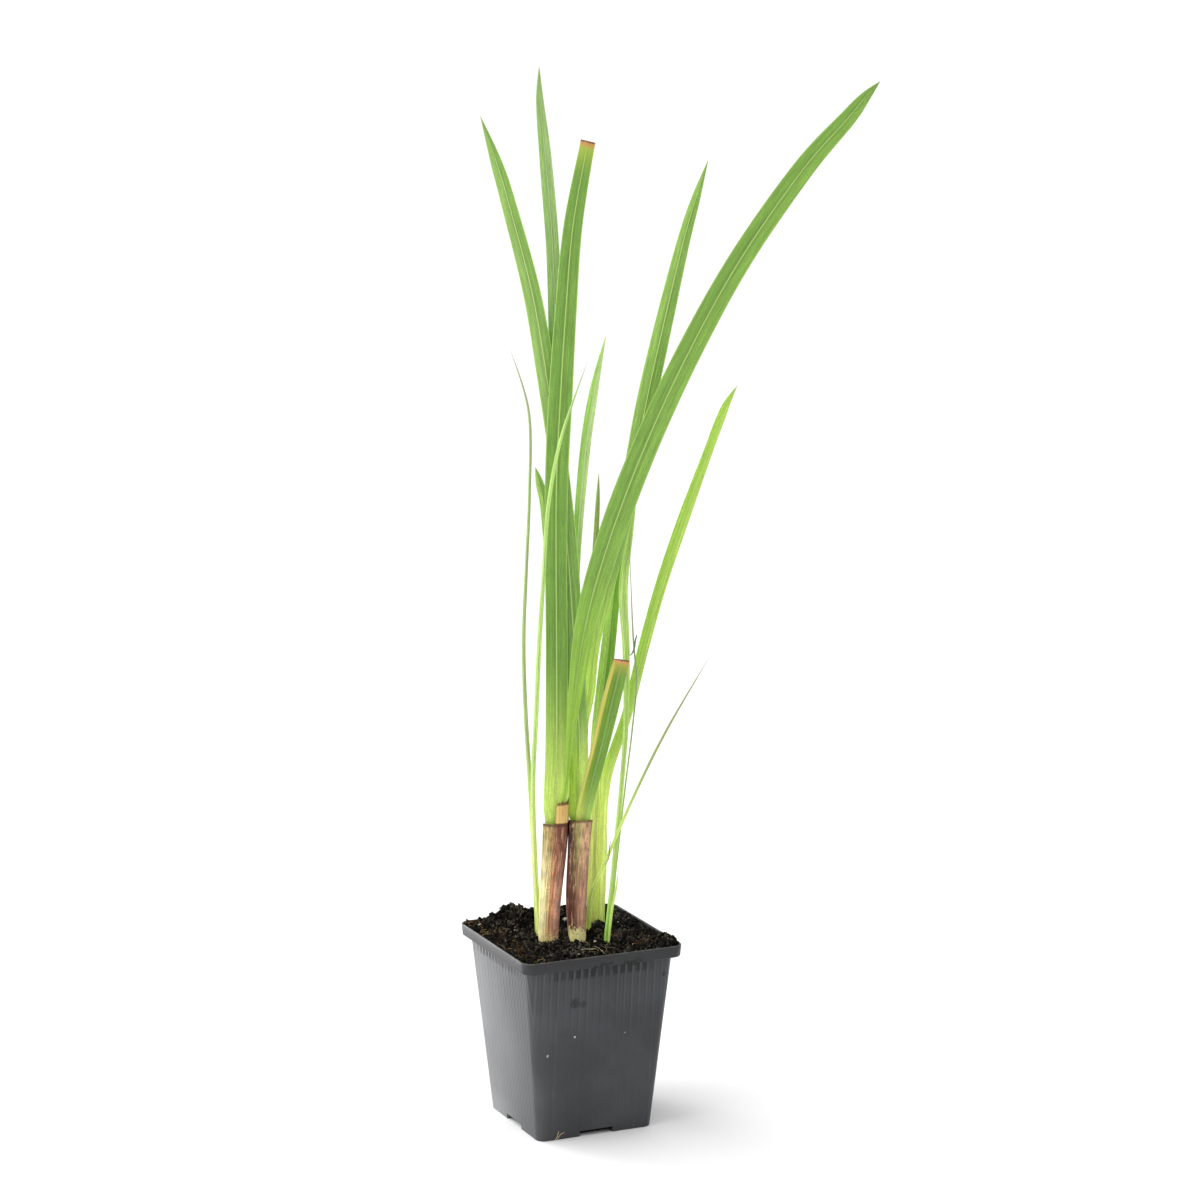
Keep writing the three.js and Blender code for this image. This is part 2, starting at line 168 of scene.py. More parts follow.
def put(tree, kind, *sources, out=0, named=None, **settings):
    """Add a node, feed its inputs in their order or by name, and return one of its outputs."""
    node = tree.nodes.new(kind)
    for key, value in settings.items():
        setattr(node, key, value)
    for socket, source in zip(node.inputs, sources):
        feed(tree, socket, source)
    for label, source in (named or {}).items():
        feed(tree, node.inputs[label], source)
    return node.outputs[out]


def maths(tree, operation, *sources, clamp=False):
    return put(tree, "ShaderNodeMath", *sources, operation=operation, use_clamp=clamp)


def ramp(tree, value, start, end, low=0.0, high=1.0):
    """Smooth step of a value from low at start to high at end."""
    return put(tree, "ShaderNodeMapRange", value, start, end, low, high, interpolation_type="SMOOTHSTEP")


def times(tree, *factors):
    """Product of several numbers or sockets."""
    product = factors[0]
    for factor in factors[1:]:
        product = maths(tree, "MULTIPLY", product, factor)
    return product


def speckle(tree, place, scale, detail, roughness=0.5):
    """Noise, which lies around a half."""
    return put(tree, "ShaderNodeTexNoise", named={
        "Vector": place, "Scale": scale, "Detail": detail, "Roughness": roughness,
    })


def shifted(tree, value, speckles, swing):
    """A value moved up and down by a noise."""
    return maths(tree, "MULTIPLY_ADD", maths(tree, "SUBTRACT", speckles, 0.5), swing, value)


def blend_colors(tree, share, first, second, mode="MIX"):
    node = tree.nodes.new("ShaderNodeMix")
    node.data_type = "RGBA"
    node.blend_type = mode
    feed(tree, node.inputs[0], share)
    feed(tree, node.inputs[6], first)
    feed(tree, node.inputs[7], second)
    return node.outputs[2]


def shaded(tree, color, shade):
    """Colour made darker or lighter by a number."""
    return blend_colors(tree, 1.0, color, put(tree, "ShaderNodeCombineXYZ", shade, shade, shade), "MULTIPLY")


def laid_over(tree, skin, layers):
    """Colour with other colours laid over it in turn, each through its mask."""
    for mask, tint in layers:
        skin = blend_colors(tree, mask, skin, tint)
    return skin


def new_group(name, kind, inputs, outputs):
    """Node group with named sockets, with what goes in and what comes out."""
    group = bpy.data.node_groups.new(name, kind)
    for label, socket_type, value in inputs:
        socket = group.interface.new_socket(label, in_out="INPUT", socket_type="NodeSocket" + socket_type)
        if value is not None:
            socket.default_value = value
    for label, socket_type in outputs:
        group.interface.new_socket(label, in_out="OUTPUT", socket_type="NodeSocket" + socket_type)
    return group, group.nodes.new("NodeGroupInput").outputs, group.nodes.new("NodeGroupOutput").inputs


def new_material(name, **values):
    """Material with its Principled shader, whose steady values are set on its own sockets."""
    material = bpy.data.materials.new(name)
    material.use_nodes = True
    shader = material.node_tree.nodes["Principled BSDF"]
    for label, value in values.items():
        shader.inputs[label.replace("_", " ")].default_value = value
    return material, material.node_tree, shader


def use_group(tree, group, **values):
    """Place a group in a tree with its own values, given with underscores for the blanks."""
    node = tree.nodes.new("ShaderNodeGroup")
    node.node_tree = group
    for label, value in values.items():
        feed(tree, node.inputs[label.replace("_", " ")], value)
    return node


def bump(tree, shader, height, distance, strength=1.0):
    normal = put(tree, "ShaderNodeBump", named={"Height": height, "Distance": distance, "Strength": strength})
    tree.links.new(normal, shader.inputs["Normal"])


floor_finish, _, _ = new_material("floor_finish", Base_Color=(0.96, 0.96, 0.96, 1), Roughness=0.8)
floor_mesh.materials.append(floor_finish)
print("floor finished")

# %% [markdown]
# ## Small helpers for pieces
# Blender keeps modifiers live, but a finished piece here is a plain mesh at the origin. One helper
# settles an object into such a mesh. Another says what the piece is: which body it rides on and which
# plain solid it takes the place of. Two more join rings of vertices by faces, and small shapes into one
# object.

# %% Piece helpers
def new_object(name, vertices, edges=(), faces=()):
    mesh = bpy.data.meshes.new(name)
    mesh.from_pydata([tuple(v) for v in vertices], list(edges), list(faces))
    piece = bpy.data.objects.new(name, mesh)
    bpy.context.collection.objects.link(piece)
    return piece


def settle(piece):
    """Make the result of an object's modifiers its own plain mesh."""
    bpy.context.view_layer.update()
    result = piece.evaluated_get(bpy.context.evaluated_depsgraph_get())
    mesh = bpy.data.meshes.new_from_object(result)
    piece.modifiers.clear()
    piece.data = mesh
    return piece


def grow(piece, group, **values):
    """Run a geometry tree on an object, with its inputs found by name and set by identifier."""
    modifier = piece.modifiers.new(group.name, "NODES")
    modifier.node_group = group
    for item in group.interface.items_tree:
        label = item.name.replace(" ", "_")
        if item.item_type == "SOCKET" and item.in_out == "INPUT" and label in values:
            modifier[item.identifier] = values[label]
    return settle(piece)


def drop_attributes(piece, labels):
    """Remove stored values that a finished piece has no more use for."""
    for label in labels:
        store = piece.data.attributes.get(label)
        if store:
            piece.data.attributes.remove(store)


def ring_faces(low, high, count):
    """Four-sided faces between two rings of vertices, given by the first vertex of each."""
    turns = [(k, (k + 1) % count) for k in range(count)]
    return [(low + k, low + turn, high + turn, high + k) for k, turn in turns]


def joined(name, shapes):
    """One object from several small shapes, each given by its vertices and faces."""
    vertices, faces = [], []
    for points, sides in shapes:
        faces += [tuple(corner + len(vertices) for corner in side) for side in sides]
        vertices += points
    return new_object(name, vertices, faces=faces)


def declare(piece, slot, *nodes):
    """Say where a finished piece belongs."""
    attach(piece, "root")
    if nodes:
        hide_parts(*nodes)
    print(piece.name, "has", len(piece.data.polygons), "faces")


# %% [markdown]
# ## Paths of the leaves
# A sword leaf has one clear rule: a lens-shaped section, with a rib down its middle, follows a
# gently bent path and narrows to a point. So each leaf is described by a few points along its path, each
# with how far across the fan it lies, how far behind, its height and the leaf's width there, all in
# millimetres. A smooth curve runs through them. The fans stand turned by about a quarter of a right angle
# to the pot, so the points are given square to the fans and turned at the end.

# %% Smooth paths
PLANT_TURN = Matrix.Rotation(math.radians(-24.3), 3, "Z")


def along(points, t):
    """Point of a smooth curve through the given points, t from 0 to 1, for all its numbers at once."""
    last = len(points) - 1
    span = min(int(t * last), last - 1)
    u = t * last - span
    a, b, c, d = (points[max(0, min(last, span + step))] for step in (-1, 0, 1, 2))
    place = []
    for before, start, end, after in zip(a, b, c, d):
        leave = (end - before) / 2
        arrive = (after - start) / 2
        bend = 3 * (end - start) - 2 * leave - arrive
        close = 2 * (start - end) + leave + arrive
        place.append(start + u * (leave + u * (bend + u * close)))
    return place


# %% Points of the left fan
LEFT_FAN = {
    "leaf_arching": [
        (-10.2, -9.6, 91, 2.4), (-7.6, -9.6, 130, 2.4), (-4.6, -9.6, 160, 2.2), (-3.6, -10, 173, 2),
        (-1.8, -10.7, 184, 2), (-0.8, -11.2, 195, 3), (1.6, -12.8, 222, 6.2), (8.7, -15.6, 270, 11.4),
        (22, -18.9, 317, 13.4), (39.7, -22.4, 364, 13.2), (60.6, -26, 410, 12.6), (85.6, -29, 456, 11.6),
        (115.6, -31.5, 500, 10.6), (137.6, -33, 525.6, 8.2), (146, -33.6, 536, 5.2), (153.4, -34, 544, 0),
    ],
    "leaf_trimmed_tall": [
        (-11.6, -7.7, 91, 6), (-8.8, -7.7, 145, 9), (-7.7, -7.9, 160, 10.5), (-8, -8.2, 169.5, 11.3),
        (-6.8, -8.7, 180.5, 13.3), (-6.9, -6.8, 205, 11.7), (-6.8, -5.2, 250, 11.4), (-7, -4.4, 295, 11.3),
        (-6.7, -3.4, 340, 11.9), (-4.6, -2.5, 383, 12.2), (-1.8, -1.6, 427, 11), (1.9, -0.9, 470, 9.6),
        (9.5, 0, 512, 7.4),
    ],
    "leaf_tallest": [
        (-11.6, -4.4, 91, 4.5), (-8.7, -4.4, 148, 5.8), (-8.1, -4.2, 165, 7), (-7.6, -1.6, 208, 8),
        (-7.1, 0.6, 255, 7.8), (-6.7, 2.2, 310, 7.4), (-6.8, 3.6, 359, 7), (-7.2, 4.8, 407, 6.9),
        (-8.4, 5.8, 455, 6.7), (-11.8, 6.8, 500, 6.3), (-14.8, 7.5, 532, 3.8), (-15.1, 8, 549.5, 0),
    ],
    "leaf_short_left": [
        (-10.5, -6.05, 91, 2.6), (-9.4, -6, 162, 3), (-9.6, -4.8, 208, 3), (-9.8, -3.6, 255, 2.8),
        (-10.4, -3.1, 290, 4), (-12.7, -2.6, 325, 4.6), (-15.2, -2.3, 338, 4.2), (-17.7, -2.1, 347.2, 0),
    ],
}

# %% Points of the right fan
RIGHT_FAN = {
    "leaf_far_left": [
        (3.9, -7.9, 91, 5), (4.4, -8, 140, 7), (4.95, -7.9, 159.5, 8.9), (4.65, -7.6, 166.5, 10.9),
        (4.2, -6.9, 179, 10.9), (4.5, -5.8, 209, 9.2), (2, -3.7, 255, 9.6), (-1, -2, 300, 10.6),
        (-5.4, -0.2, 346, 9.6), (-11.6, 1, 391, 9.6), (-19, 2.2, 435, 9.1), (-30.6, 3.6, 480, 7.6),
        (-36.8, 4.4, 501, 5.9), (-45, 5.2, 525, 0),
    ],
    "leaf_right_back": [
        (3.9, -6.4, 91, 3), (4.6, -6.4, 150, 4), (5, -6.2, 165, 4.4), (6.4, -4.5, 208, 5),
        (9.8, -4.1, 229, 5.8), (13, -4.2, 257, 5.8), (22.2, -4.8, 299, 8.4), (31.2, -6, 340, 9.6),
        (38.9, -7.5, 381, 10.1), (47.8, -8.8, 422, 8.9), (57.2, -9.6, 462, 6.6), (63.4, -10, 484, 4.5),
        (69.7, -10.2, 504, 0),
    ],
    "leaf_middle": [
        (3.9, -3.9, 91, 2.8), (4.2, -3.9, 150, 3.4), (4.3, -3.7, 165, 3.6), (3.7, -1.3, 208, 3.6),
        (2.9, 0.5, 255, 3.8), (3.2, 2.4, 298, 4.4), (7.4, 5.6, 351, 5.3), (12.4, 7.8, 385, 4.4),
        (18.8, 9.6, 414.2, 0),
    ],
    "leaf_young": [
        (5.6, -5, 91, 2), (6.2, -5, 150, 2.2), (6.4, -4.8, 165, 2.4), (8.1, -2.9, 208, 2.4),
        (10.1, -2.2, 253, 2.6), (12.6, -2.6, 297, 3), (13.8, -2.9, 319, 2.7), (14.4, -3.1, 332, 2),
        (14.9, -3.2, 345, 0),
    ],
    "leaf_trimmed_short": [
        (4.1, -9.7, 91, 3.8), (5, -9.6, 140, 5.4), (6.3, -9.5, 160, 7.1), (8.2, -10.1, 173, 8),
        (15.2, -12.6, 201.5, 8.8), (20.8, -14.6, 226, 9.5), (26.5, -16.4, 249.5, 8.4),
    ],
}

# %% Points of the small shoots and thin blades
SMALL_SHOOTS = {
    "side_leaf_dark": [
        (11.6, 9.4, 91, 5.2), (11.7, 9.4, 110, 6.4), (13.2, 8.7, 155, 7.4), (14.4, 7.2, 199, 7.8),
        (17.3, 6.2, 229, 7.8), (20.4, 5.4, 258, 7.2), (23.6, 4.8, 287, 6), (32.4, 3.8, 344, 0),
    ],
    "side_leaf_right": [
        (14.2, 12, 91, 5), (14.6, 12, 110, 5.8), (15.6, 12.2, 144, 6), (18.6, 12.5, 180, 5.6),
        (29.5, 12.7, 214.5, 5.4), (37.8, 13, 249, 5.7), (47.1, 13.4, 283, 6), (58.4, 14.2, 317, 6),
        (70.6, 15.1, 351, 4.8), (76.8, 15.5, 368, 4.6), (80.8, 15.8, 377.5, 3.4), (85.9, 16, 386.4, 0),
    ],
    "side_sheath": [(16.4, 14, 91, 2.6), (16.6, 14, 110, 3), (17.6, 13.9, 140, 3), (18.8, 13.6, 170, 0)],
    "edge_leaf": [
        (17.6, -14, 91, 1.6), (19, -12.8, 105, 2.2), (21.6, -10.2, 128.5, 2.5), (27.4, -6.6, 191, 2.5),
        (29, -5.6, 222, 3.1), (28.8, -4.3, 253, 3.8), (27.4, -2.6, 284, 4.6), (31.2, -1, 314, 2.8),
        (35.4, 0.2, 344.5, 0),
    ],
}
THIN_BLADES = {
    "thread_blade": [
        (19, -11.4, 91, 1), (22.8, -8.4, 128, 1), (25.6, -6, 154, 0.9), (28.7, -4.8, 181.5, 0.9),
        (31.9, -4.4, 208.5, 0.9), (34.1, -4, 235, 0.9), (32.3, -4, 262, 0.8), (30.2, -3.4, 315, 0),
    ],
    "thread_tip": [
        (19.2, -15.9, 91, 1.1), (21.4, -14, 114, 1.2), (23.8, -12.6, 128, 1.1), (25.3, -12, 139, 0),
    ],
    "blade_left_back": [
        (-17.3, 1.8, 91, 2.4), (-17.5, 1.8, 105, 2.4), (-19.1, 1.8, 144, 2.5), (-21, 2, 181.5, 2.4),
        (-23.1, 2.3, 219, 2.2), (-23.9, 2.6, 256, 2), (-22.4, 3, 293.5, 1.8), (-20.6, 3.4, 334, 1.5),
        (-21, 3.8, 375, 1.3), (-31.2, 4, 409, 0),
    ],
    "blade_left_front": [
        (-16.3, -1.2, 91, 2.4), (-16.6, -1.3, 105, 2.6), (-18.5, -3.2, 144, 2.6), (-19.2, -5, 181.5, 2.5),
        (-17.4, -6.8, 219, 2.4), (-15.7, -8.6, 256, 2.4), (-13.3, -10.2, 292, 2.1), (-10.7, -11.8, 328.5, 2),
        (-3.9, -13.6, 364.5, 1.7), (10.4, -15.9, 406, 0),
    ],
    "blade_right_arching": [
        (9.6, 1, 91, 2.4), (9.5, 0.3, 104, 2.6), (10.9, -3.9, 122, 2.4), (18.1, -8.6, 140.5, 1.8),
        (33.1, -11.6, 177, 1.5), (50.3, -12.8, 213, 1.3), (74.4, -14.3, 255.5, 0),
    ],
}
PATHS = {**LEFT_FAN, **RIGHT_FAN, **SMALL_SHOOTS, **THIN_BLADES}
THICKNESS = {
    "leaf_arching": 1, "leaf_trimmed_tall": 1.1, "leaf_tallest": 1, "leaf_short_left": 0.6,
    "leaf_far_left": 1.1, "leaf_right_back": 0.9, "leaf_middle": 0.7, "leaf_young": 0.5,
    "leaf_trimmed_short": 1.2, "side_leaf_dark": 0.9, "side_leaf_right": 0.9, "side_sheath": 0.6,
    "edge_leaf": 0.7, "thread_blade": 0.4, "thread_tip": 0.4, "blade_left_back": 0.7,
    "blade_left_front": 0.7, "blade_right_arching": 0.5,
}
print("leaves:", len(PATHS))

# %% [markdown]
# ## One tree for every leaf
# A profile swept along a path could be made with a bevelled curve, but a curve scales its
# profile evenly, and a leaf stays about as thick while its width changes. So the path is a line of points
# that carry their own width, thickness and directions. Curve to Mesh sweeps a circle along it, which only
# supplies the grid of points, and Set Position then puts each of them where a leaf has its surface: a
# lens, a little folded at the rib, with the rib raised.

# %% Path with its widths and directions
PATH_STEPS = 10
LOOK_ASIDE = 0.005


def blade_thickness(width, thick):
    """Thickness in millimetres: less where the leaf is narrow, and none at its point."""
    return thick * min(1, 0.35 + width / 6) * min(1, width)


def path_object(name, points, thick):
    spans = (len(points) - 1) * PATH_STEPS
    rows = {"middle": [], "wide": [], "deep": [], "width": [], "thick": [], "share": []}
    for k in range(spans + 1):
        t = k / spans
        across, behind, height, width = along(points, t)
        before = Vector(along(points, max(0, t - LOOK_ASIDE))[:3])
        after = Vector(along(points, min(1, t + LOOK_ASIDE))[:3])
        grows = (after - before).normalized()
        wide = Vector((0, 1, 0)).cross(grows).normalized()
        deep = grows.cross(wide)
        rows["middle"].append(PLANT_TURN @ Vector((across, behind, height)) * MM)
        rows["wide"].append(PLANT_TURN @ wide)
        rows["deep"].append(PLANT_TURN @ deep)
        rows["width"].append(max(width, 0) * MM)
        rows["thick"].append(blade_thickness(width, thick) * MM)
        rows["share"].append(t)
    piece = new_object(name + "_piece", rows["middle"], [(k, k + 1) for k in range(spans)])
    for label, values in rows.items():
        if isinstance(values[0], Vector):
            store = piece.data.attributes.new(label, "FLOAT_VECTOR", "POINT")
            store.data.foreach_set("vector", [number for value in values for number in value])
        else:
            store = piece.data.attributes.new(label, "FLOAT", "POINT")
            store.data.foreach_set("value", values)
    return piece


# %% Leaf tree
LENS_DEPTH = 0.8
RIB_REACH = 0.16
SLANT_FROM = 0.985
WELD = 0.00002


def leaf_tree():
    group, given, result = new_group(
        "Leaf blade", "GeometryNodeTree",
        [
            ("Path", "Geometry", None), ("Sides", "Int", 40), ("Rib", "Float", 0.3), ("Fold", "Float", 0.1),
            ("Slant", "Float", 0.0), ("Finish", "Material", None),
        ],
        [("Leaf", "Geometry")],
    )
    group.is_modifier = True

    def stored(label, kind="FLOAT_VECTOR"):
        return put(group, "GeometryNodeInputNamedAttribute", label, data_type=kind)

    curve = put(group, "GeometryNodeMeshToCurve", given["Path"])
    circle = put(group, "GeometryNodeCurvePrimitiveCircle", given["Sides"])
    place = put(group, "GeometryNodeInputPosition")
    marked = put(group, "GeometryNodeStoreNamedAttribute", data_type="FLOAT_VECTOR", domain="POINT",
                 named={"Geometry": circle, "Name": "spot", "Value": place})
    swept = put(group, "GeometryNodeCurveToMesh",
                named={"Curve": curve, "Profile Curve": marked, "Fill Caps": True})
    spot = put(group, "ShaderNodeSeparateXYZ", stored("spot"))
    side, up = spot, spot.node.outputs[1]

    lens = times(group, up, maths(group, "ABSOLUTE", up), LENS_DEPTH)
    rib = ramp(group, maths(group, "ABSOLUTE", side), RIB_REACH, 0.0, 0.0, given["Rib"])
    sign = maths(group, "SIGN", up)
    height = maths(group, "ADD", lens, times(group, sign, rib))
    sideways = times(group, side, stored("width", "FLOAT"), 0.5)
    depth = times(group, height, stored("thick", "FLOAT"), 0.5)
    fold = times(group, maths(group, "ABSOLUTE", sideways), given["Fold"])
    top = ramp(group, stored("share", "FLOAT"), SLANT_FROM, 1.0)
    drop = times(group, sideways, given["Slant"], top, -1.0)

    target = stored("middle")
    for move in (
        put(group, "ShaderNodeVectorMath", stored("wide"), operation="SCALE", named={"Scale": sideways}),
        put(group, "ShaderNodeVectorMath", stored("deep"), operation="SCALE",
            named={"Scale": maths(group, "ADD", depth, fold)}),
        put(group, "ShaderNodeCombineXYZ", 0.0, 0.0, drop),
    ):
        target = put(group, "ShaderNodeVectorMath", target, move, operation="ADD")
    shaped = put(group, "GeometryNodeSetPosition", named={"Geometry": swept, "Position": target})

    across = maths(group, "ADD", times(group, side, 0.5), 0.5)
    chart = put(group, "ShaderNodeCombineXYZ", across, stored("share", "FLOAT"), 0.0)
    charted = put(group, "GeometryNodeStoreNamedAttribute", data_type="FLOAT2", domain="CORNER",
                  named={"Geometry": shaped, "Name": "UVMap", "Value": chart})
    closed = put(group, "GeometryNodeMergeByDistance", named={"Geometry": charted, "Distance": WELD})
    smooth = put(group, "GeometryNodeSetShadeSmooth", closed)
    real = put(group, "GeometryNodeRealizeInstances", smooth)
    finished = put(group, "GeometryNodeSetMaterial", named={"Geometry": real, "Material": given["Finish"]})
    group.links.new(finished, result["Leaf"])
    return group


LEAF_TREE = leaf_tree()
print("leaf tree:", len(LEAF_TREE.nodes), "nodes")

# %% [markdown]
# ## Skin of a leaf
# A fresh leaf isn't one green. Its halves catch the light differently on either side of the pale rib,
# fine veins run its whole length, its margins are thin and lighter, the foot is pale where no sun
# reached it, and the tip dries to tan. All of this follows the leaf, so it is painted in the
# leaf's own UV map: across from edge to edge, and along from root to tip. One shader group holds
# it, and every leaf gives it its own values.

# %% Leaf skin group
SKIN_COLORS = {
    "Left": (130, 180, 75), "Right": (115, 165, 70), "Rib color": (165, 210, 120), "Foot": (200, 230, 120),
    "Foot left": (200, 230, 120), "Tip": (200, 190, 110),
}
SKIN_NUMBERS = {
    "Rib at": 0.5, "Rib width": 0.042, "Rib strength": 0.85, "Veins": 14, "Length": 0.4, "Foot low": 0.15,
    "Foot high": 0.21, "Tip reach": 0.012, "Stripe": 0.0, "Cut": 0.0,
}
STREAK_SCALE, STREAK_LENGTHS = 2.2, 18.0
FINE_SCALE, FINE_LENGTHS = 4.5, 60.0
CLOUD_SCALE, GRAIN_SCALE = 45.0, 1500.0
PALE_MARGIN = 0.06
STRIPE_AT, STRIPE_REACH = 0.12, (0.17, 0.02)
STRIPE_COLOR = paint(226, 200, 105)
CUT_TAN = paint(196, 150, 84)
CUT_TAN_REACH = (0.0075, 0.0045)
CUT_BROWN = paint(104, 58, 32)
CUT_BROWN_REACH = (0.0036, 0.0024)


def leaf_skin():
    group, given, result = new_group(
        "Leaf skin", "ShaderNodeTree",
        [(label, "Color", paint(*tint)) for label, tint in SKIN_COLORS.items()]
        + [(label, "Float", value) for label, value in SKIN_NUMBERS.items()],
        [("Color", "Color"), ("Roughness", "Float"), ("Height", "Float")],
    )
    uv = put(group, "ShaderNodeSeparateXYZ", put(group, "ShaderNodeUVMap", uv_map="UVMap"))
    across, share = uv, uv.node.outputs[1]
    metres = times(group, share, given["Length"])
    from_tip = maths(group, "SUBTRACT", given["Length"], metres)
    place = put(group, "ShaderNodeTexCoord", out=3)
    height = put(group, "ShaderNodeSeparateXYZ", place, out=2)

    vein_count = times(group, across, given["Veins"])
    streak_chart = put(group, "ShaderNodeCombineXYZ", vein_count, times(group, metres, STREAK_LENGTHS), 0.0)
    fine_chart = put(group, "ShaderNodeCombineXYZ", vein_count, times(group, metres, FINE_LENGTHS), 3.0)
    streak = speckle(group, streak_chart, STREAK_SCALE, 4.0)
    fine = speckle(group, fine_chart, FINE_SCALE, 3.0)
    cloud = speckle(group, place, CLOUD_SCALE, 3.0)
    grain = speckle(group, place, GRAIN_SCALE, 2.0)
    vein = maths(group, "SINE", times(group, vein_count, 2 * math.pi))

    beyond_rib = maths(group, "SUBTRACT", across, given["Rib at"])
    off_rib = maths(group, "ABSOLUTE", beyond_rib)
    right_side = ramp(group, beyond_rib, -0.03, 0.03)
    halves = blend_colors(group, right_side, given["Left"], given["Right"])
    pale_foot = blend_colors(group, right_side, given["Foot left"], given["Foot"])
    veined = ramp(group, vein, 0.3, 1.0, 0.0, 0.22)
    lines = maths(group, "ADD", veined, ramp(group, streak, 0.34, 0.66, 0.74, 1.12))
    shade = times(
        group, lines, ramp(group, fine, 0.34, 0.66, 0.88, 1.12), ramp(group, grain, 0.3, 0.7, 0.93, 1.07),
        ramp(group, cloud, 0.3, 0.7, 0.94, 1.05), ramp(group, off_rib, 0.2, 0.05, 1.0, 0.8),
    )

    from_edge = maths(group, "MINIMUM", across, maths(group, "SUBTRACT", 1.0, across))
    rib = times(group, ramp(group, off_rib, given["Rib width"], 0.0), given["Rib strength"])
    from_stripe = maths(group, "ABSOLUTE", maths(group, "SUBTRACT", across, STRIPE_AT))
    stripe = times(group, ramp(group, from_stripe, *STRIPE_REACH), given["Stripe"],
                   ramp(group, streak, 0.3, 0.6, 0.5, 1.0))
    uneven = maths(group, "MULTIPLY_ADD", streak, 0.03, maths(group, "SUBTRACT", height, 0.015))
    dry_edge = maths(group, "MULTIPLY_ADD", streak, 0.006, from_tip)
    dry = times(group, ramp(group, dry_edge, given["Tip reach"], 0.003), 0.85)
    ragged = maths(group, "MULTIPLY_ADD", streak, 0.004, from_tip)
    skin = laid_over(group, shaded(group, halves, shade), [
        (ramp(group, from_edge, PALE_MARGIN, 0.0, 0.0, 0.75), given["Rib color"]),
        (rib, given["Rib color"]),
        (stripe, STRIPE_COLOR),
        (ramp(group, uneven, given["Foot high"], given["Foot low"]), shaded(group, pale_foot, shade)),
        (dry, given["Tip"]),
        (times(group, ramp(group, ragged, *CUT_TAN_REACH), given["Cut"]), CUT_TAN),
        (times(group, ramp(group, ragged, *CUT_BROWN_REACH), given["Cut"]), CUT_BROWN),
    ])

    group.links.new(skin, result["Color"])
    group.links.new(ramp(group, streak, 0.3, 0.7, 0.4, 0.54), result["Roughness"])
    relief = maths(group, "MULTIPLY_ADD", vein, 0.5, times(group, streak, 0.8))
    group.links.new(relief, result["Height"])
    return group


LEAF_SKIN = leaf_skin()
print("leaf skin:", len(LEAF_SKIN.nodes), "nodes")

# %% [markdown]
# ## Greens of each leaf
# The leaves differ: the front ones are a fuller green, the thin ones behind let the light
# through and look yellower, and the cut ones end in brown. The light that passes through a leaf is a
# little subsurface scattering, which is the same all over, so it is set on the shader itself.

# %% Leaf colours
VEIN_RELIEF = 0.00009
PALE_FOOT = (205, 230, 125)


def look(left, right, rib=None, foot=PALE_FOOT, foot_left=None, tip=None, **numbers):
    """Values of one leaf for the leaf skin, with its colours given from 0 to 255."""
    colors = {
        "Left": left, "Right": right, "Rib color": rib,
        "Foot": foot, "Foot left": foot_left or foot, "Tip": tip,
    }
    return {**{label: paint(*color) for label, color in colors.items() if color}, **numbers}


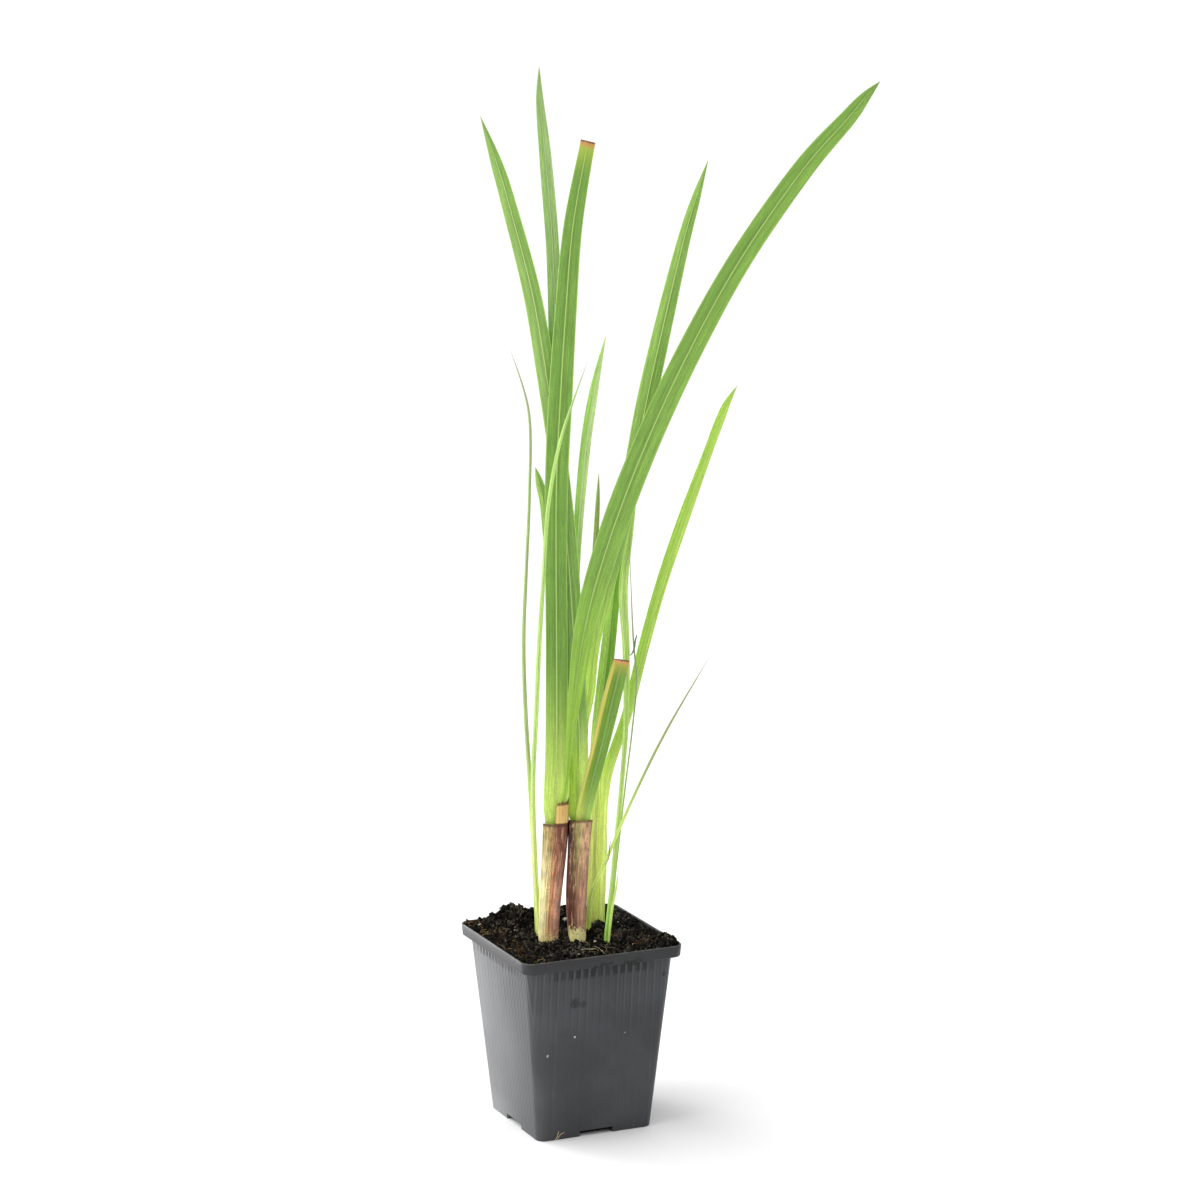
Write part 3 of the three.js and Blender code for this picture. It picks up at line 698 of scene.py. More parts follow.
LOOKS = {
    "leaf_arching": look(
        (116, 157, 60), (129, 171, 68), (174, 208, 116), (158, 201, 62), (146, 189, 54), Rib_at=0.49,
        Foot_low=0.16, Foot_high=0.33, Veins=18,
    ),
    "leaf_trimmed_tall": look(
        (113, 155, 60), (118, 160, 64), (188, 228, 118), (200, 226, 106), (190, 218, 98),
        tip=(176, 194, 72), Rib_at=0.5, Foot_low=0.165, Foot_high=0.25, Veins=18, Tip_reach=0.022, Cut=1,
    ),
    "leaf_tallest": look((140, 178, 94), (156, 188, 112), (186, 212, 150), Rib_at=0.5, Veins=10),
    "leaf_short_left": look((153, 190, 88), (128, 168, 72), Rib_strength=0.3, Veins=5),
    "leaf_far_left": look(
        (140, 178, 88), (138, 180, 84), (212, 242, 142), (224, 252, 130), (166, 204, 62), Rib_at=0.52,
        Foot_low=0.185, Foot_high=0.225, Veins=14,
    ),
    "leaf_right_back": look(
        (140, 180, 82), (134, 174, 78), (204, 238, 130), (206, 244, 104), (200, 236, 100), Rib_at=0.5,
        Foot_low=0.225, Foot_high=0.31, Veins=12,
    ),
    "leaf_middle": look(
        (176, 222, 108), (198, 228, 146), (216, 238, 176), Rib_at=0.55, Rib_width=0.12, Veins=8,
    ),
    "leaf_young": look((152, 176, 88), (144, 168, 82), Rib_strength=0.2, Veins=3),
    "leaf_trimmed_short": look(
        (106, 146, 24), (114, 155, 50), (138, 178, 104), (168, 204, 92), (184, 200, 84),
        tip=(176, 166, 70), Rib_at=0.56, Rib_width=0.1, Rib_strength=0.6, Foot_low=0.158, Foot_high=0.19,
        Veins=12, Stripe=0.8, Tip_reach=0.018, Cut=1,
    ),
    "side_leaf_dark": look(
        (176, 214, 104), (124, 172, 50), (170, 208, 116), (224, 246, 122), (233, 252, 142), Rib_at=0.5,
        Foot_low=0.18, Foot_high=0.235, Veins=10,
    ),
    "side_leaf_right": look(
        (166, 208, 78), (180, 216, 94), (184, 220, 94), (242, 252, 148), (238, 250, 144), Rib_width=0.16,
        Rib_strength=0.8, Veins=8,
    ),
    "side_sheath": look((206, 230, 116), (196, 220, 108), Rib_strength=0.2, Veins=5),
    "edge_leaf": look(
        (190, 223, 124), (176, 210, 108), (196, 226, 130), (158, 214, 70), Rib_strength=0.5, Foot_low=0.1,
        Foot_high=0.13, Veins=5,
    ),
    "thread_blade": look(
        (158, 168, 138), (142, 152, 124), foot=(170, 200, 110), Rib_strength=0.0, Veins=2, Foot_low=0.17,
        Foot_high=0.23,
    ),
    "thread_tip": look((110, 140, 66), (98, 126, 60), Rib_strength=0.0, Veins=2),
    "blade_left_back": look(
        (178, 200, 132), (160, 180, 122), foot=(212, 236, 130), tip=(168, 172, 138), Rib_strength=0.2,
        Veins=3, Tip_reach=0.08,
    ),
    "blade_left_front": look(
        (192, 226, 128), (180, 216, 116), foot=(204, 230, 128), foot_left=(230, 246, 156),
        tip=(178, 186, 150), Rib_strength=0.2, Veins=3, Tip_reach=0.04,
    ),
    "blade_right_arching": look(
        (176, 206, 106), (164, 194, 98), foot=(222, 248, 130), foot_left=(214, 242, 124),
        tip=(146, 142, 118), Rib_strength=0.1, Veins=2, Foot_low=0.14, Foot_high=0.2, Tip_reach=0.1,
    ),
}


def leaf_finish(name, length):
    material, tree, shader = new_material(
        name + "_finish", Subsurface_Weight=0.12, Subsurface_Radius=(0.6, 1.0, 0.25), Subsurface_Scale=0.0006,
        Specular_IOR_Level=0.4,
    )
    skin = use_group(tree, LEAF_SKIN, Length=length, **LOOKS[name])
    tree.links.new(skin.outputs["Color"], shader.inputs["Base Color"])
    tree.links.new(skin.outputs["Roughness"], shader.inputs["Roughness"])
    bump(tree, shader, skin.outputs["Height"], VEIN_RELIEF, 0.5)
    return material


# %% Grow the leaves
SLANTS = {"leaf_trimmed_tall": 0.05, "leaf_trimmed_short": -0.12}
FOLDS = {"leaf_arching": 0.12, "leaf_right_back": 0.12, "leaf_far_left": 0.1, "leaf_middle": 0.1}
LEAF_SIDES, BLADE_SIDES = 40, 16
LEAF_RIB, BLADE_RIB = 0.3, 0.1


def grow_leaf(name):
    points = PATHS[name]
    piece = path_object(name, points, THICKNESS[name])
    ends = [Vector(point[:3]) for point in points]
    length = sum((end - start).length for start, end in zip(ends, ends[1:])) * MM
    slim = name in THIN_BLADES
    grow(piece, LEAF_TREE, Sides=BLADE_SIDES if slim else LEAF_SIDES, Rib=BLADE_RIB if slim else LEAF_RIB,
         Fold=FOLDS.get(name, 0.0), Slant=SLANTS.get(name, 0.0), Finish=leaf_finish(name, length))
    drop_attributes(piece, ("middle", "wide", "deep", "width", "thick", "share", "spot"))
    declare(piece, "blade" if slim else "leaf", name)


for leaf_name in PATHS:
    grow_leaf(leaf_name)

# %% [markdown]
# ## Cut old sheaths
# Each fan stands in the sheath of an old leaf that was cut off: a dry sleeve, wrapped round the shoot
# with one edge over the other, wrinkled lengthwise and ragged where it was cut. A cylinder would look
# like a pipe, so the sleeve is lofted from rings whose radius has wrinkles and a step at
# the overlap, and whose top edge goes up and down. The left one has a dry flap that stands up.

# %% Sleeve shape
SLEEVE_SIDES = 120
SLEEVE_RISES = 44
SLEEVE_POWER = 3
SLEEVE_WALL = 0.6
OVERLAP_STEP = 0.3
TOP_TILT = 0.2
FLAP_EDGE = 0.4
FLAP_LEAN = 0.6
SLEEVES = {
    "sheath_left": dict(
        rings=[
            (-11.9, -7, 90.7, 4.9, 4.8), (-10.7, -7, 118, 5.5, 5.1), (-8.4, -7, 145, 6.3, 5.2),
            (-7.45, -7, 160.5, 6.7, 5.2),
        ],
        overlap=math.radians(-38), flap=(-7.1, -0.35, 11.5), seed=3.0,
    ),
    "sheath_right": dict(
        rings=[
            (4, -7, 90.7, 3.9, 4.8), (3.1, -7, 118, 5.3, 5.1), (4.25, -7, 145, 5.6, 5.2),
            (5.5, -7, 162.5, 6.1, 5.2),
        ],
        overlap=math.radians(-118), flap=None, seed=11.0,
    ),
}


def ripple(c, s, fineness, third, size):
    """Noise that runs round a sleeve without a seam, from the cosine and sine of the angle."""
    return noise.noise(Vector((c * fineness, s * fineness, third))) * size


def sleeve_point(shape, angle, share, inset):
    """Point on a sleeve, in the plant's millimetres."""
    across, behind, height, half_width, half_depth = along(shape["rings"], share)
    c, s = math.cos(angle), math.sin(angle)
    squared = (abs(c) ** SLEEVE_POWER + abs(s) ** SLEEVE_POWER) ** (-1 / SLEEVE_POWER)
    wrinkle = ripple(c, s, 4, share * 1.3 + shape["seed"], 0.25)
    wrinkle += ripple(c, s, 14, share * 2 + shape["seed"], 0.12) + OVERLAP_STEP / 2
    behind_edge = (angle - shape["overlap"]) % (2 * math.pi) / (2 * math.pi)
    if inset == 0:
        inwards = OVERLAP_STEP * behind_edge - wrinkle
    else:
        inwards = inset - wrinkle / 2
    x = across + c * squared * (half_width - inwards)
    y = behind + s * squared * (half_depth - inwards)
    ragged = ripple(c, s, 9, shape["seed"], 1.3) + ripple(c, s, 30, 5.0, 0.5)
    z = height + (0.6 * ragged - TOP_TILT * (y - behind)) * share ** 12
    if shape["flap"]:
        start, end, rise = shape["flap"]
        edge = min(x - start, end - x)
        if y < behind and edge > -FLAP_EDGE:
            lift = min(1.0, (edge + FLAP_EDGE) / (2 * FLAP_EDGE))
            z += (rise + 1.5 * ragged) * lift * max(0.0, (share - 0.8) / 0.2)
            y += FLAP_LEAN * lift * max(0.0, (share - 0.9) / 0.1)
    return PLANT_TURN @ Vector((x, y, z)) * MM


def sleeve_object(name):
    shape = SLEEVES[name]
    steps = [k / SLEEVE_RISES for k in range(SLEEVE_RISES + 1)]
    rows = [(share, 0.0) for share in steps] + [(share, SLEEVE_WALL) for share in reversed(steps)]
    vertices, chart = [], []
    for share, inset in rows:
        for k in range(SLEEVE_SIDES):
            vertices.append(sleeve_point(shape, 2 * math.pi * k / SLEEVE_SIDES, share, inset))
            chart.append((k / SLEEVE_SIDES, share))
    faces = []
    for row in range(len(rows)):
        faces += ring_faces(row * SLEEVE_SIDES, (row + 1) % len(rows) * SLEEVE_SIDES, SLEEVE_SIDES)
    piece = new_object(name + "_piece", vertices, faces=faces)
    piece.data.shade_smooth()
    around = piece.data.attributes.new("around", "FLOAT_VECTOR", "POINT")
    for spot, (turn, share) in zip(around.data, chart):
        spot.vector = (math.cos(2 * math.pi * turn), math.sin(2 * math.pi * turn), share)
    return piece


# %% [markdown]
# ## Colours of the dry sheaths
# The sleeves run from cream through orange tan to red-brown as one goes round them, streaked lengthwise
# and flecked with dark spots, cream at the foot and dark along the cut. The mesh carries the place of each
# point round and up the sleeve, and the bands of colour are laid out round it.

# %% Sheath finish
FLAP_TOP = 0.172
SHEATH_STREAK = (7.0, 4.5, 0.0)
SHEATH_FIBRE = (15.0, 5.0, 5.0)
SHEATH_MOTTLE = (6.0, 9.0, 2.0)
FLECK_SCALE, BLOTCH_SCALE = 900.0, 170.0
SHEATH_RELIEF = 0.0004
DARK_STREAK = paint(92, 50, 36)
PALE_STREAK = paint(226, 192, 148)
DARK_FLECK = paint(64, 36, 26)
FLAP_GOLD = (paint(186, 140, 78), paint(232, 198, 124))
FLAP_RIM = paint(92, 56, 34)
CUT_RIM = paint(74, 44, 28)


def band_ramp(tree, place, bands):
    """Colours side by side: each band has its place, from 0 at the left to 1 at the right, and its colour."""
    node = tree.nodes.new("ShaderNodeValToRGB")
    tree.links.new(place, node.inputs[0])
    elements = node.color_ramp.elements
    for element, (spot, *tint) in zip(elements, (bands[0], bands[-1])):
        element.position, element.color = spot, paint(*tint)
    for spot, *tint in bands[1:-1]:
        elements.new(spot).color = paint(*tint)
    return node.outputs[0]


def sheath_finish(name, top_bands, low_bands, foot_color, foot_top, rim, flap_low):
    material, tree, shader = new_material(name + "_finish", Specular_IOR_Level=0.3)
    around = put(tree, "ShaderNodeAttribute", attribute_name="around", out=1)
    cosine = put(tree, "ShaderNodeSeparateXYZ", around)
    sine, share = cosine.node.outputs[1], cosine.node.outputs[2]
    place = put(tree, "ShaderNodeTexCoord", out=3)
    height = put(tree, "ShaderNodeSeparateXYZ", place, out=2)

    def drawn_out(fineness, length, seed):
        """Noise drawn out along the sleeve: finer round it than up it."""
        chart = put(tree, "ShaderNodeCombineXYZ", maths(tree, "MULTIPLY_ADD", cosine, fineness, seed),
                    times(tree, sine, fineness), times(tree, share, length))
        return speckle(tree, chart, 1.0, 6.0, 0.68)

    streak = drawn_out(*SHEATH_STREAK)
    fibre = drawn_out(*SHEATH_FIBRE)
    mottle = drawn_out(*SHEATH_MOTTLE)
    flecks = speckle(tree, place, FLECK_SCALE, 3.0, 0.7)
    blotch = speckle(tree, place, BLOTCH_SCALE, 3.0)

    across = maths(tree, "MULTIPLY_ADD", shifted(tree, cosine, streak, 0.7), 0.5, 0.5)
    low, top = band_ramp(tree, across, low_bands), band_ramp(tree, across, top_bands)
    bands = blend_colors(tree, ramp(tree, shifted(tree, share, streak, 0.9), 0.3, 0.85), low, top)
    shade = times(tree, ramp(tree, fibre, 0.36, 0.64, 0.55, 1.4), ramp(tree, blotch, 0.35, 0.65, 0.8, 1.15))
    dark = times(tree, ramp(tree, mottle, 0.54, 0.6, 0.0, 0.5), ramp(tree, across, 0.25, 0.5, 0.15, 1.0))
    spots = times(tree, ramp(tree, flecks, 0.57, 0.66), ramp(tree, blotch, 0.45, 0.62, 0.15, 0.8),
                  ramp(tree, across, 0.2, 0.5, 0.3, 1.0))
    foot_edge = shifted(tree, shifted(tree, share, fibre, 0.3), flecks, 0.2)
    cut_edge = shifted(tree, height, fibre, 0.002)
    golden = blend_colors(tree, ramp(tree, fibre, 0.35, 0.6), *FLAP_GOLD)
    rim_line = times(tree, ramp(tree, cut_edge, rim - 0.0012, rim),
                     ramp(tree, cut_edge, rim + 0.0016, rim + 0.0008), 0.7)
    skin = laid_over(tree, shaded(tree, bands, shade), [
        (dark, DARK_STREAK),
        (ramp(tree, mottle, 0.45, 0.39, 0.0, 0.45), PALE_STREAK),
        (spots, DARK_FLECK),
        (ramp(tree, foot_edge, foot_top, foot_top - 0.02, 0.0, 0.9), foot_color),
        (ramp(tree, cut_edge, flap_low, flap_low + 0.001), golden),
        (ramp(tree, cut_edge, FLAP_TOP - 0.0012, FLAP_TOP, 0.0, 0.85), FLAP_RIM),
        (rim_line, CUT_RIM),
    ])
    tree.links.new(skin, shader.inputs["Base Color"])
    tree.links.new(ramp(tree, streak, 0.3, 0.7, 0.6, 0.82), shader.inputs["Roughness"])
    relief = maths(tree, "MULTIPLY_ADD", fibre, 0.8, times(tree, streak, 0.6))
    bump(tree, shader, relief, SHEATH_RELIEF, 0.8)
    return material


# %% Make the sheaths
LEFT_TOP = [
    (0.0, 150, 126, 84), (0.2, 176, 160, 100), (0.42, 164, 124, 84), (0.58, 140, 92, 72),
    (0.8, 126, 78, 62), (1.0, 84, 52, 42),
]
LEFT_LOW = [
    (0.0, 222, 210, 148), (0.2, 242, 232, 174), (0.4, 234, 204, 138), (0.52, 216, 142, 96),
    (0.75, 216, 164, 136), (1.0, 184, 132, 106),
]
RIGHT_TOP = [
    (0.0, 58, 32, 22), (0.2, 74, 40, 26), (0.34, 128, 116, 68), (0.5, 168, 158, 98),
    (0.62, 204, 166, 124), (0.85, 214, 172, 134), (1.0, 168, 124, 94),
]
RIGHT_LOW = [
    (0.0, 196, 154, 132), (0.07, 116, 66, 50), (0.22, 84, 44, 32), (0.45, 126, 80, 62),
    (0.62, 192, 144, 116), (0.85, 194, 146, 120), (1.0, 122, 80, 60),
]
for sheath_name, bands in (
    ("sheath_left", (LEFT_TOP, LEFT_LOW, paint(238, 220, 146), 0.15, 0.1608, 0.1616)),
    ("sheath_right", (RIGHT_TOP, RIGHT_LOW, paint(246, 240, 166), 0.2, 0.163, 0.18)),
):
    sleeve = sleeve_object(sheath_name)
    sleeve.data.materials.append(sheath_finish(sheath_name, *bands))
    declare(sleeve, "dry_sheath", sheath_name)

# %% [markdown]
# ## Pot
# The pot is one thin moulded shell: four sides that widen upwards, a collar round the mouth and a drain
# notch in the middle of each side's foot. It could be a box with bevels, but a loft through rounded
# square rings gives every radius and every small step of the collar its own value. The notches are cut
# with a Boolean modifier.

# %% Rounded square rings
CORNER_STEPS = 10
SIDE_STEPS = 6


def square_ring(half, radius, height):
    """Square ring with round corners, in millimetres, counter-clockwise."""
    corners = []
    for corner in range(4):
        quarter = corner * math.pi / 2
        x = math.cos(quarter + math.pi / 4) * math.sqrt(2) * (half - radius)
        y = math.sin(quarter + math.pi / 4) * math.sqrt(2) * (half - radius)
        angles = [quarter + step / CORNER_STEPS * math.pi / 2 for step in range(CORNER_STEPS + 1)]
        corners.append([Vector((x + radius * math.cos(a), y + radius * math.sin(a), height)) for a in angles])
    ring = []
    for corner, arc in enumerate(corners):
        following = corners[(corner + 1) % 4][0]
        ring += arc + [arc[-1].lerp(following, step / SIDE_STEPS) for step in range(1, SIDE_STEPS)]
    return ring


# %% Pot shell
POT_HEIGHT = 100
RIM_HALF = 45
COLLAR_HEIGHT = 6.2
COLLAR_FLARE = 0.4
WALL_TOP_HALF = 41.1
BASE_HALF = 32.3
POT_WALL = 1
POT_FLOOR = 1.2
RIM_RADIUS = 6
BASE_RADIUS = 4.5
NOTCH = (19, 7, 3)
EDGE = 0.35
LEDGE = POT_HEIGHT - COLLAR_HEIGHT
OUTER_HEIGHTS = [EDGE, 12, 25, 38, 51, 64, 77, 88, LEDGE]
INNER_HEIGHTS = [88, 60, 30, POT_FLOOR]
LIP = [(0, 0.4), (0.12, 0.12), (0.4, 0), (0.7, 0), (POT_WALL, 0.3)]


def wall_half(height):
    return BASE_HALF + (WALL_TOP_HALF - BASE_HALF) * height / LEDGE


def wall_radius(height):
    return BASE_RADIUS + (RIM_RADIUS - BASE_RADIUS) * height / POT_HEIGHT


def pot_object():
    """Loft up the outside, over the lip and down the inside, each ring by its half width, radius, height."""
    skirt = RIM_HALF - COLLAR_FLARE
    profile = [(BASE_HALF - EDGE, BASE_RADIUS - EDGE, 0)]
    profile += [(wall_half(z), wall_radius(z), z) for z in OUTER_HEIGHTS]
    profile += [(skirt - EDGE, RIM_RADIUS - EDGE, LEDGE), (skirt, RIM_RADIUS, LEDGE + EDGE)]
    profile += [(RIM_HALF - inset, RIM_RADIUS - inset, POT_HEIGHT - drop) for inset, drop in LIP]
    profile += [
        (skirt - POT_WALL, RIM_RADIUS - POT_WALL, LEDGE + POT_WALL),
        (wall_half(LEDGE) - POT_WALL, wall_radius(LEDGE) - POT_WALL, LEDGE + POT_WALL),
    ]
    profile += [(wall_half(z) - POT_WALL, wall_radius(z) - POT_WALL, z) for z in INNER_HEIGHTS]
    rings = [square_ring(*row) for row in profile]
    count = len(rings[0])
    vertices = [point * MM for ring in rings for point in ring]
    faces = []
    for row in range(len(rings) - 1):
        faces += ring_faces(row * count, (row + 1) * count, count)
    faces.append(tuple(reversed(range(count))))
    faces.append(tuple(range((len(rings) - 1) * count, len(rings) * count)))
    return new_object("pot_piece", vertices, faces=faces)


def cut_notches(piece):
    wide, deep, high = NOTCH
    corners = []
    for side in range(4):
        turn = Matrix.Rotation(side * math.pi / 2, 3, "Z")
        for z in (-high, high):
            for x, y in ((-1, -1), (1, -1), (1, 1), (-1, 1)):
                corners.append(turn @ Vector((x * wide / 2, BASE_HALF + y * deep, z)) * MM)
    faces = []
    for side in range(4):
        a = side * 8
        faces += [(a + 3, a + 2, a + 1, a), (a + 4, a + 5, a + 6, a + 7)]
        faces += ring_faces(a, a + 4, 4)
    cutter = new_object("notches", corners, faces=faces)
    modifier = piece.modifiers.new("notches", "BOOLEAN")
    modifier.operation = "DIFFERENCE"
    modifier.solver = "EXACT"
    modifier.object = cutter
    settle(piece)
    bpy.data.objects.remove(cutter)


pot = pot_object()
cut_notches(pot)
pot.data.shade_smooth()
pot.data.set_sharp_from_angle(angle=math.radians(38))
print("pot:", len(pot.data.polygons), "faces")

# %% [markdown]
# ## Moulded plastic
# The plastic is black with a satin surface. Its sides have shallow upright ribs, some four millimetres
# apart with a finer one between. A painted highlight on their crests and painted shade between them make
# them show, and below the collar a painted shadow lies between their ends as a row of dark gaps. Pale
# scuffs and a few specks keep it from looking new, dark patches lie along the foot of the collar, the left
# side carries dust and a painted sheen, and a painted highlight runs along the lip. Each side is flat, so
# the distance along it is simply x or y, whichever the side runs along, and everything is laid out in
# object space.

# %% Pot finish
RIB_PITCH = 0.00415
PLASTIC_RELIEF = 0.0003
PLASTIC_CLOUD, PLASTIC_GRAIN, COLLAR_FOOT_PATCH = 28.0, 900.0, 330.0
RIBS_GROW = (0.05, 0.084)
# Where the painted shadow under the collar lies between the rib ends: its heights, and how far it reaches
# from the middle of a side.
RIB_END_SHADOW_FROM = (0.0868, 0.089)
RIB_END_SHADOW_REACH = (0.034, 0.02)
# Where the left side starts to take dust and a painted sheen from the light on that side.
DUST_AND_SHEEN_FROM = (-0.026, -0.032)
# Dark patches along the foot of the collar: their heights, middle and reach.
COLLAR_FOOT_LOW = (0.0885, 0.0925)
COLLAR_FOOT_HIGH = (0.0975, 0.0945)
COLLAR_FOOT_MIDDLE = 0.006
COLLAR_FOOT_REACH = (0.026, 0.012)
PLASTIC = (paint(54, 55, 58), paint(66, 67, 70))
# Painted highlight on the crests of the ribs and painted shade between them.
RIB_PAINTED_HIGHLIGHT, RIB_PAINTED_SHADE = paint(88, 90, 93), paint(36, 37, 39)
# Colour of the dust and painted sheen on the left side, and of the pale scuffs.
DUST_AND_SHEEN, SCUFF = paint(150, 151, 152), paint(120, 122, 124)
# Colour of the painted shadow between the rib ends, and of the dark patches at the foot of the collar.
RIB_END_SHADOW, COLLAR_FOOT_DARK = paint(8, 9, 10), paint(16, 17, 18)
# The collar's colour, light scrapes on it, and the colour of the painted highlight along the lip.
COLLAR, COLLAR_SCRAPE, LIP_HIGHLIGHT = paint(42, 42, 43), paint(104, 106, 108), paint(104, 102, 98)
SPECKS = [
    ((-0.0148, -0.0394, 0.0745), 0.0036, (30, 31, 33)),
    ((-0.0102, -0.0394, 0.0735), 0.0026, (38, 39, 40)),
    ((0.0352, -0.0402, 0.0845), 0.0016, (30, 31, 32)),
    ((-0.0142, -0.0377, 0.0560), 0.0008, (190, 190, 180)),
    ((-0.0292, -0.0369, 0.0475), 0.0009, (178, 176, 160)),
    ((0.0142, -0.0377, 0.0548), 0.0006, (158, 160, 158)),
    ((-0.0405, 0.0150, 0.0830), 0.0008, (24, 24, 24)),
]


def speck_mask(tree, place, spot, radius):
    """Mask that is 1 at a spot of the pot, in metres, and falls to 0 at its radius."""
    gap = put(tree, "ShaderNodeVectorMath", place, spot, operation="DISTANCE", out=1)
    return ramp(tree, gap, radius, radius * 0.5)


def pot_finish():
    material, tree, shader = new_material("pot_finish", Specular_IOR_Level=0.3)
    place = put(tree, "ShaderNodeTexCoord", out=3)
    spot_x = put(tree, "ShaderNodeSeparateXYZ", place)
    spot_y, height = spot_x.node.outputs[1], spot_x.node.outputs[2]
    size_x, size_y = maths(tree, "ABSOLUTE", spot_x), maths(tree, "ABSOLUTE", spot_y)
    along_x = maths(tree, "GREATER_THAN", size_y, size_x)
    walk = maths(tree, "ADD", times(tree, spot_x, along_x),
                 times(tree, spot_y, maths(tree, "SUBTRACT", 1.0, along_x)))
    upright = put(tree, "ShaderNodeCombineXYZ", times(tree, walk, 300.0), times(tree, height, 9.0), along_x)
    level = put(tree, "ShaderNodeCombineXYZ", times(tree, walk, 60.0), times(tree, height, 900.0), along_x)
    cloud = speckle(tree, place, PLASTIC_CLOUD, 4.0)
    grain = speckle(tree, place, PLASTIC_GRAIN, 2.0)
    patchy = speckle(tree, place, COLLAR_FOOT_PATCH, 3.0)
    streak = speckle(tree, upright, 1.0, 3.0)
    scrape = speckle(tree, level, 1.0, 4.0, 0.65)

    on_wall = ramp(tree, height, LEDGE * MM, (LEDGE - 0.6) * MM)
    turns = times(tree, walk, 2 * math.pi / RIB_PITCH)
    broad, narrow = maths(tree, "SINE", turns), maths(tree, "SINE", times(tree, turns, 2.0))
    waves = maths(tree, "MULTIPLY_ADD", narrow, 0.7, times(tree, broad, 0.45))
    ribs = times(tree, waves, ramp(tree, height, *RIBS_GROW, 0.35, 1.0),
                 ramp(tree, streak, 0.35, 0.65, 0.4, 1.0), on_wall)
    # Dust on the left side together with a painted sheen where the left light falls, stronger towards the
    # back.
    dust_and_sheen = times(tree, ramp(tree, spot_x, *DUST_AND_SHEEN_FROM), ramp(tree, spot_y, -0.03, 0.04, 0.1, 1.0),
                  ramp(tree, cloud, 0.3, 0.7, 0.42, 0.66), on_wall)
    scuffed = times(tree, ramp(tree, streak, 0.6, 0.75), ramp(tree, cloud, 0.5, 0.7, 0.04, 0.22))
    from_middle = maths(tree, "ABSOLUTE", walk)
    # Painted shadow of the collar, lying between the ends of the ribs just below it.
    rib_end_shadows = times(tree, ramp(tree, height, *RIB_END_SHADOW_FROM), ramp(tree, broad, 0.6, 0.1), on_wall,
                     ramp(tree, from_middle, *RIB_END_SHADOW_REACH), ramp(tree, streak, 0.3, 0.55, 0.5, 1.0), 0.95)
    collar = ramp(tree, height, (LEDGE - 0.1) * MM, (LEDGE + 0.1) * MM, 0.0, 0.7)
    # Dark patches along the foot of the collar, where it steps out from the wall.
    from_collar_foot_middle = maths(tree, "ABSOLUTE", maths(tree, "SUBTRACT", spot_x, COLLAR_FOOT_MIDDLE))
    collar_foot_dark = times(tree, ramp(tree, height, *COLLAR_FOOT_LOW), ramp(tree, height, *COLLAR_FOOT_HIGH),
                   ramp(tree, from_collar_foot_middle, *COLLAR_FOOT_REACH), ramp(tree, patchy, 0.5, 0.58, 0.0, 0.85))
    # Painted highlight along the top edge of the lip.
    lip = times(tree, ramp(tree, height, (POT_HEIGHT - 0.7) * MM, (POT_HEIGHT - 0.1) * MM),
                ramp(tree, streak, 0.35, 0.65, 0.1, 0.55))
    plain = blend_colors(tree, ramp(tree, cloud, 0.35, 0.7), *PLASTIC)
    skin = laid_over(tree, plain, [
        # Painted highlight on the rib crests and painted shade in the troughs between them.
        (times(tree, ramp(tree, ribs, 0.1, 0.9), 0.3), RIB_PAINTED_HIGHLIGHT),
        (times(tree, ramp(tree, ribs, -0.1, -0.7), 0.35), RIB_PAINTED_SHADE),
        # Dust with a painted sheen on the left side.
        (dust_and_sheen, DUST_AND_SHEEN),
        (scuffed, SCUFF),
        # Painted shadow between the rib ends.
        (rib_end_shadows, RIB_END_SHADOW),
        (collar, COLLAR),
        (times(tree, ramp(tree, scrape, 0.55, 0.75, 0.0, 0.3), collar), COLLAR_SCRAPE),
        # Dark patches along the foot of the collar.
        (collar_foot_dark, COLLAR_FOOT_DARK),
        # Painted highlight along the lip.
        (lip, LIP_HIGHLIGHT),
    ])
    ragged = ramp(tree, grain, 0.4, 0.55, 0.5, 0.9)
    skin = laid_over(tree, skin, [
        (times(tree, speck_mask(tree, place, spot, radius), ragged), paint(*tint))
        for spot, radius, tint in SPECKS
    ])
    tree.links.new(skin, shader.inputs["Base Color"])
    tree.links.new(ramp(tree, cloud, 0.3, 0.7, 0.34, 0.46), shader.inputs["Roughness"])
    relief = maths(tree, "MULTIPLY_ADD", grain, 0.1, times(tree, ribs, 0.6))
    bump(tree, shader, relief, PLASTIC_RELIEF, 0.8)
    return material


pot.data.materials.clear()
pot.data.materials.append(pot_finish())
declare(pot, "pot", "pot")

# %% [markdown]
# ## Bed of soil
# The soil is one body: it fills the pot to just under the rim and is heaped at the back. Its top is a
# fine grid, rounded at the corners like the pot's mouth, and raised by the mounds and by three sizes of
# noise, so that it is already uneven before any crumbs lie on it.

# %% Soil bed
SOIL_LEVEL = 98.6
SOIL_CELLS = 150
CLEAR = 1.35
FLOOR_GAP = 0.35
MOUTH = RIM_HALF - COLLAR_FLARE - CLEAR
MOUTH_RADIUS = RIM_RADIUS - CLEAR
SOIL_NOISE = [(9, 1.0, 1.1), (3.2, 4.0, 0.9), (1.2, 9.0, 0.5)]
MOUNDS = [
    (-19, 33, 10, 9.5), (-35, 37, 1.4, 7), (-2, 35, 3.6, 7.5), (13, 35, 4, 9), (-37, 10, 0.8, 9),
    (14, -3, 6.5, 6), (38, -34, 5.5, 6),
]


def near(x, y, middle_x, middle_y, radius):
    """Share that falls softly from 1 at a middle."""
    return math.exp(-(math.hypot(x - middle_x, y - middle_y) / radius) ** 2)


def heap(x, y):
    """Height of the mounds over the level soil, in millimetres."""
    return sum(rise * near(x, y, middle_x, middle_y, radius) for middle_x, middle_y, rise, radius in MOUNDS)


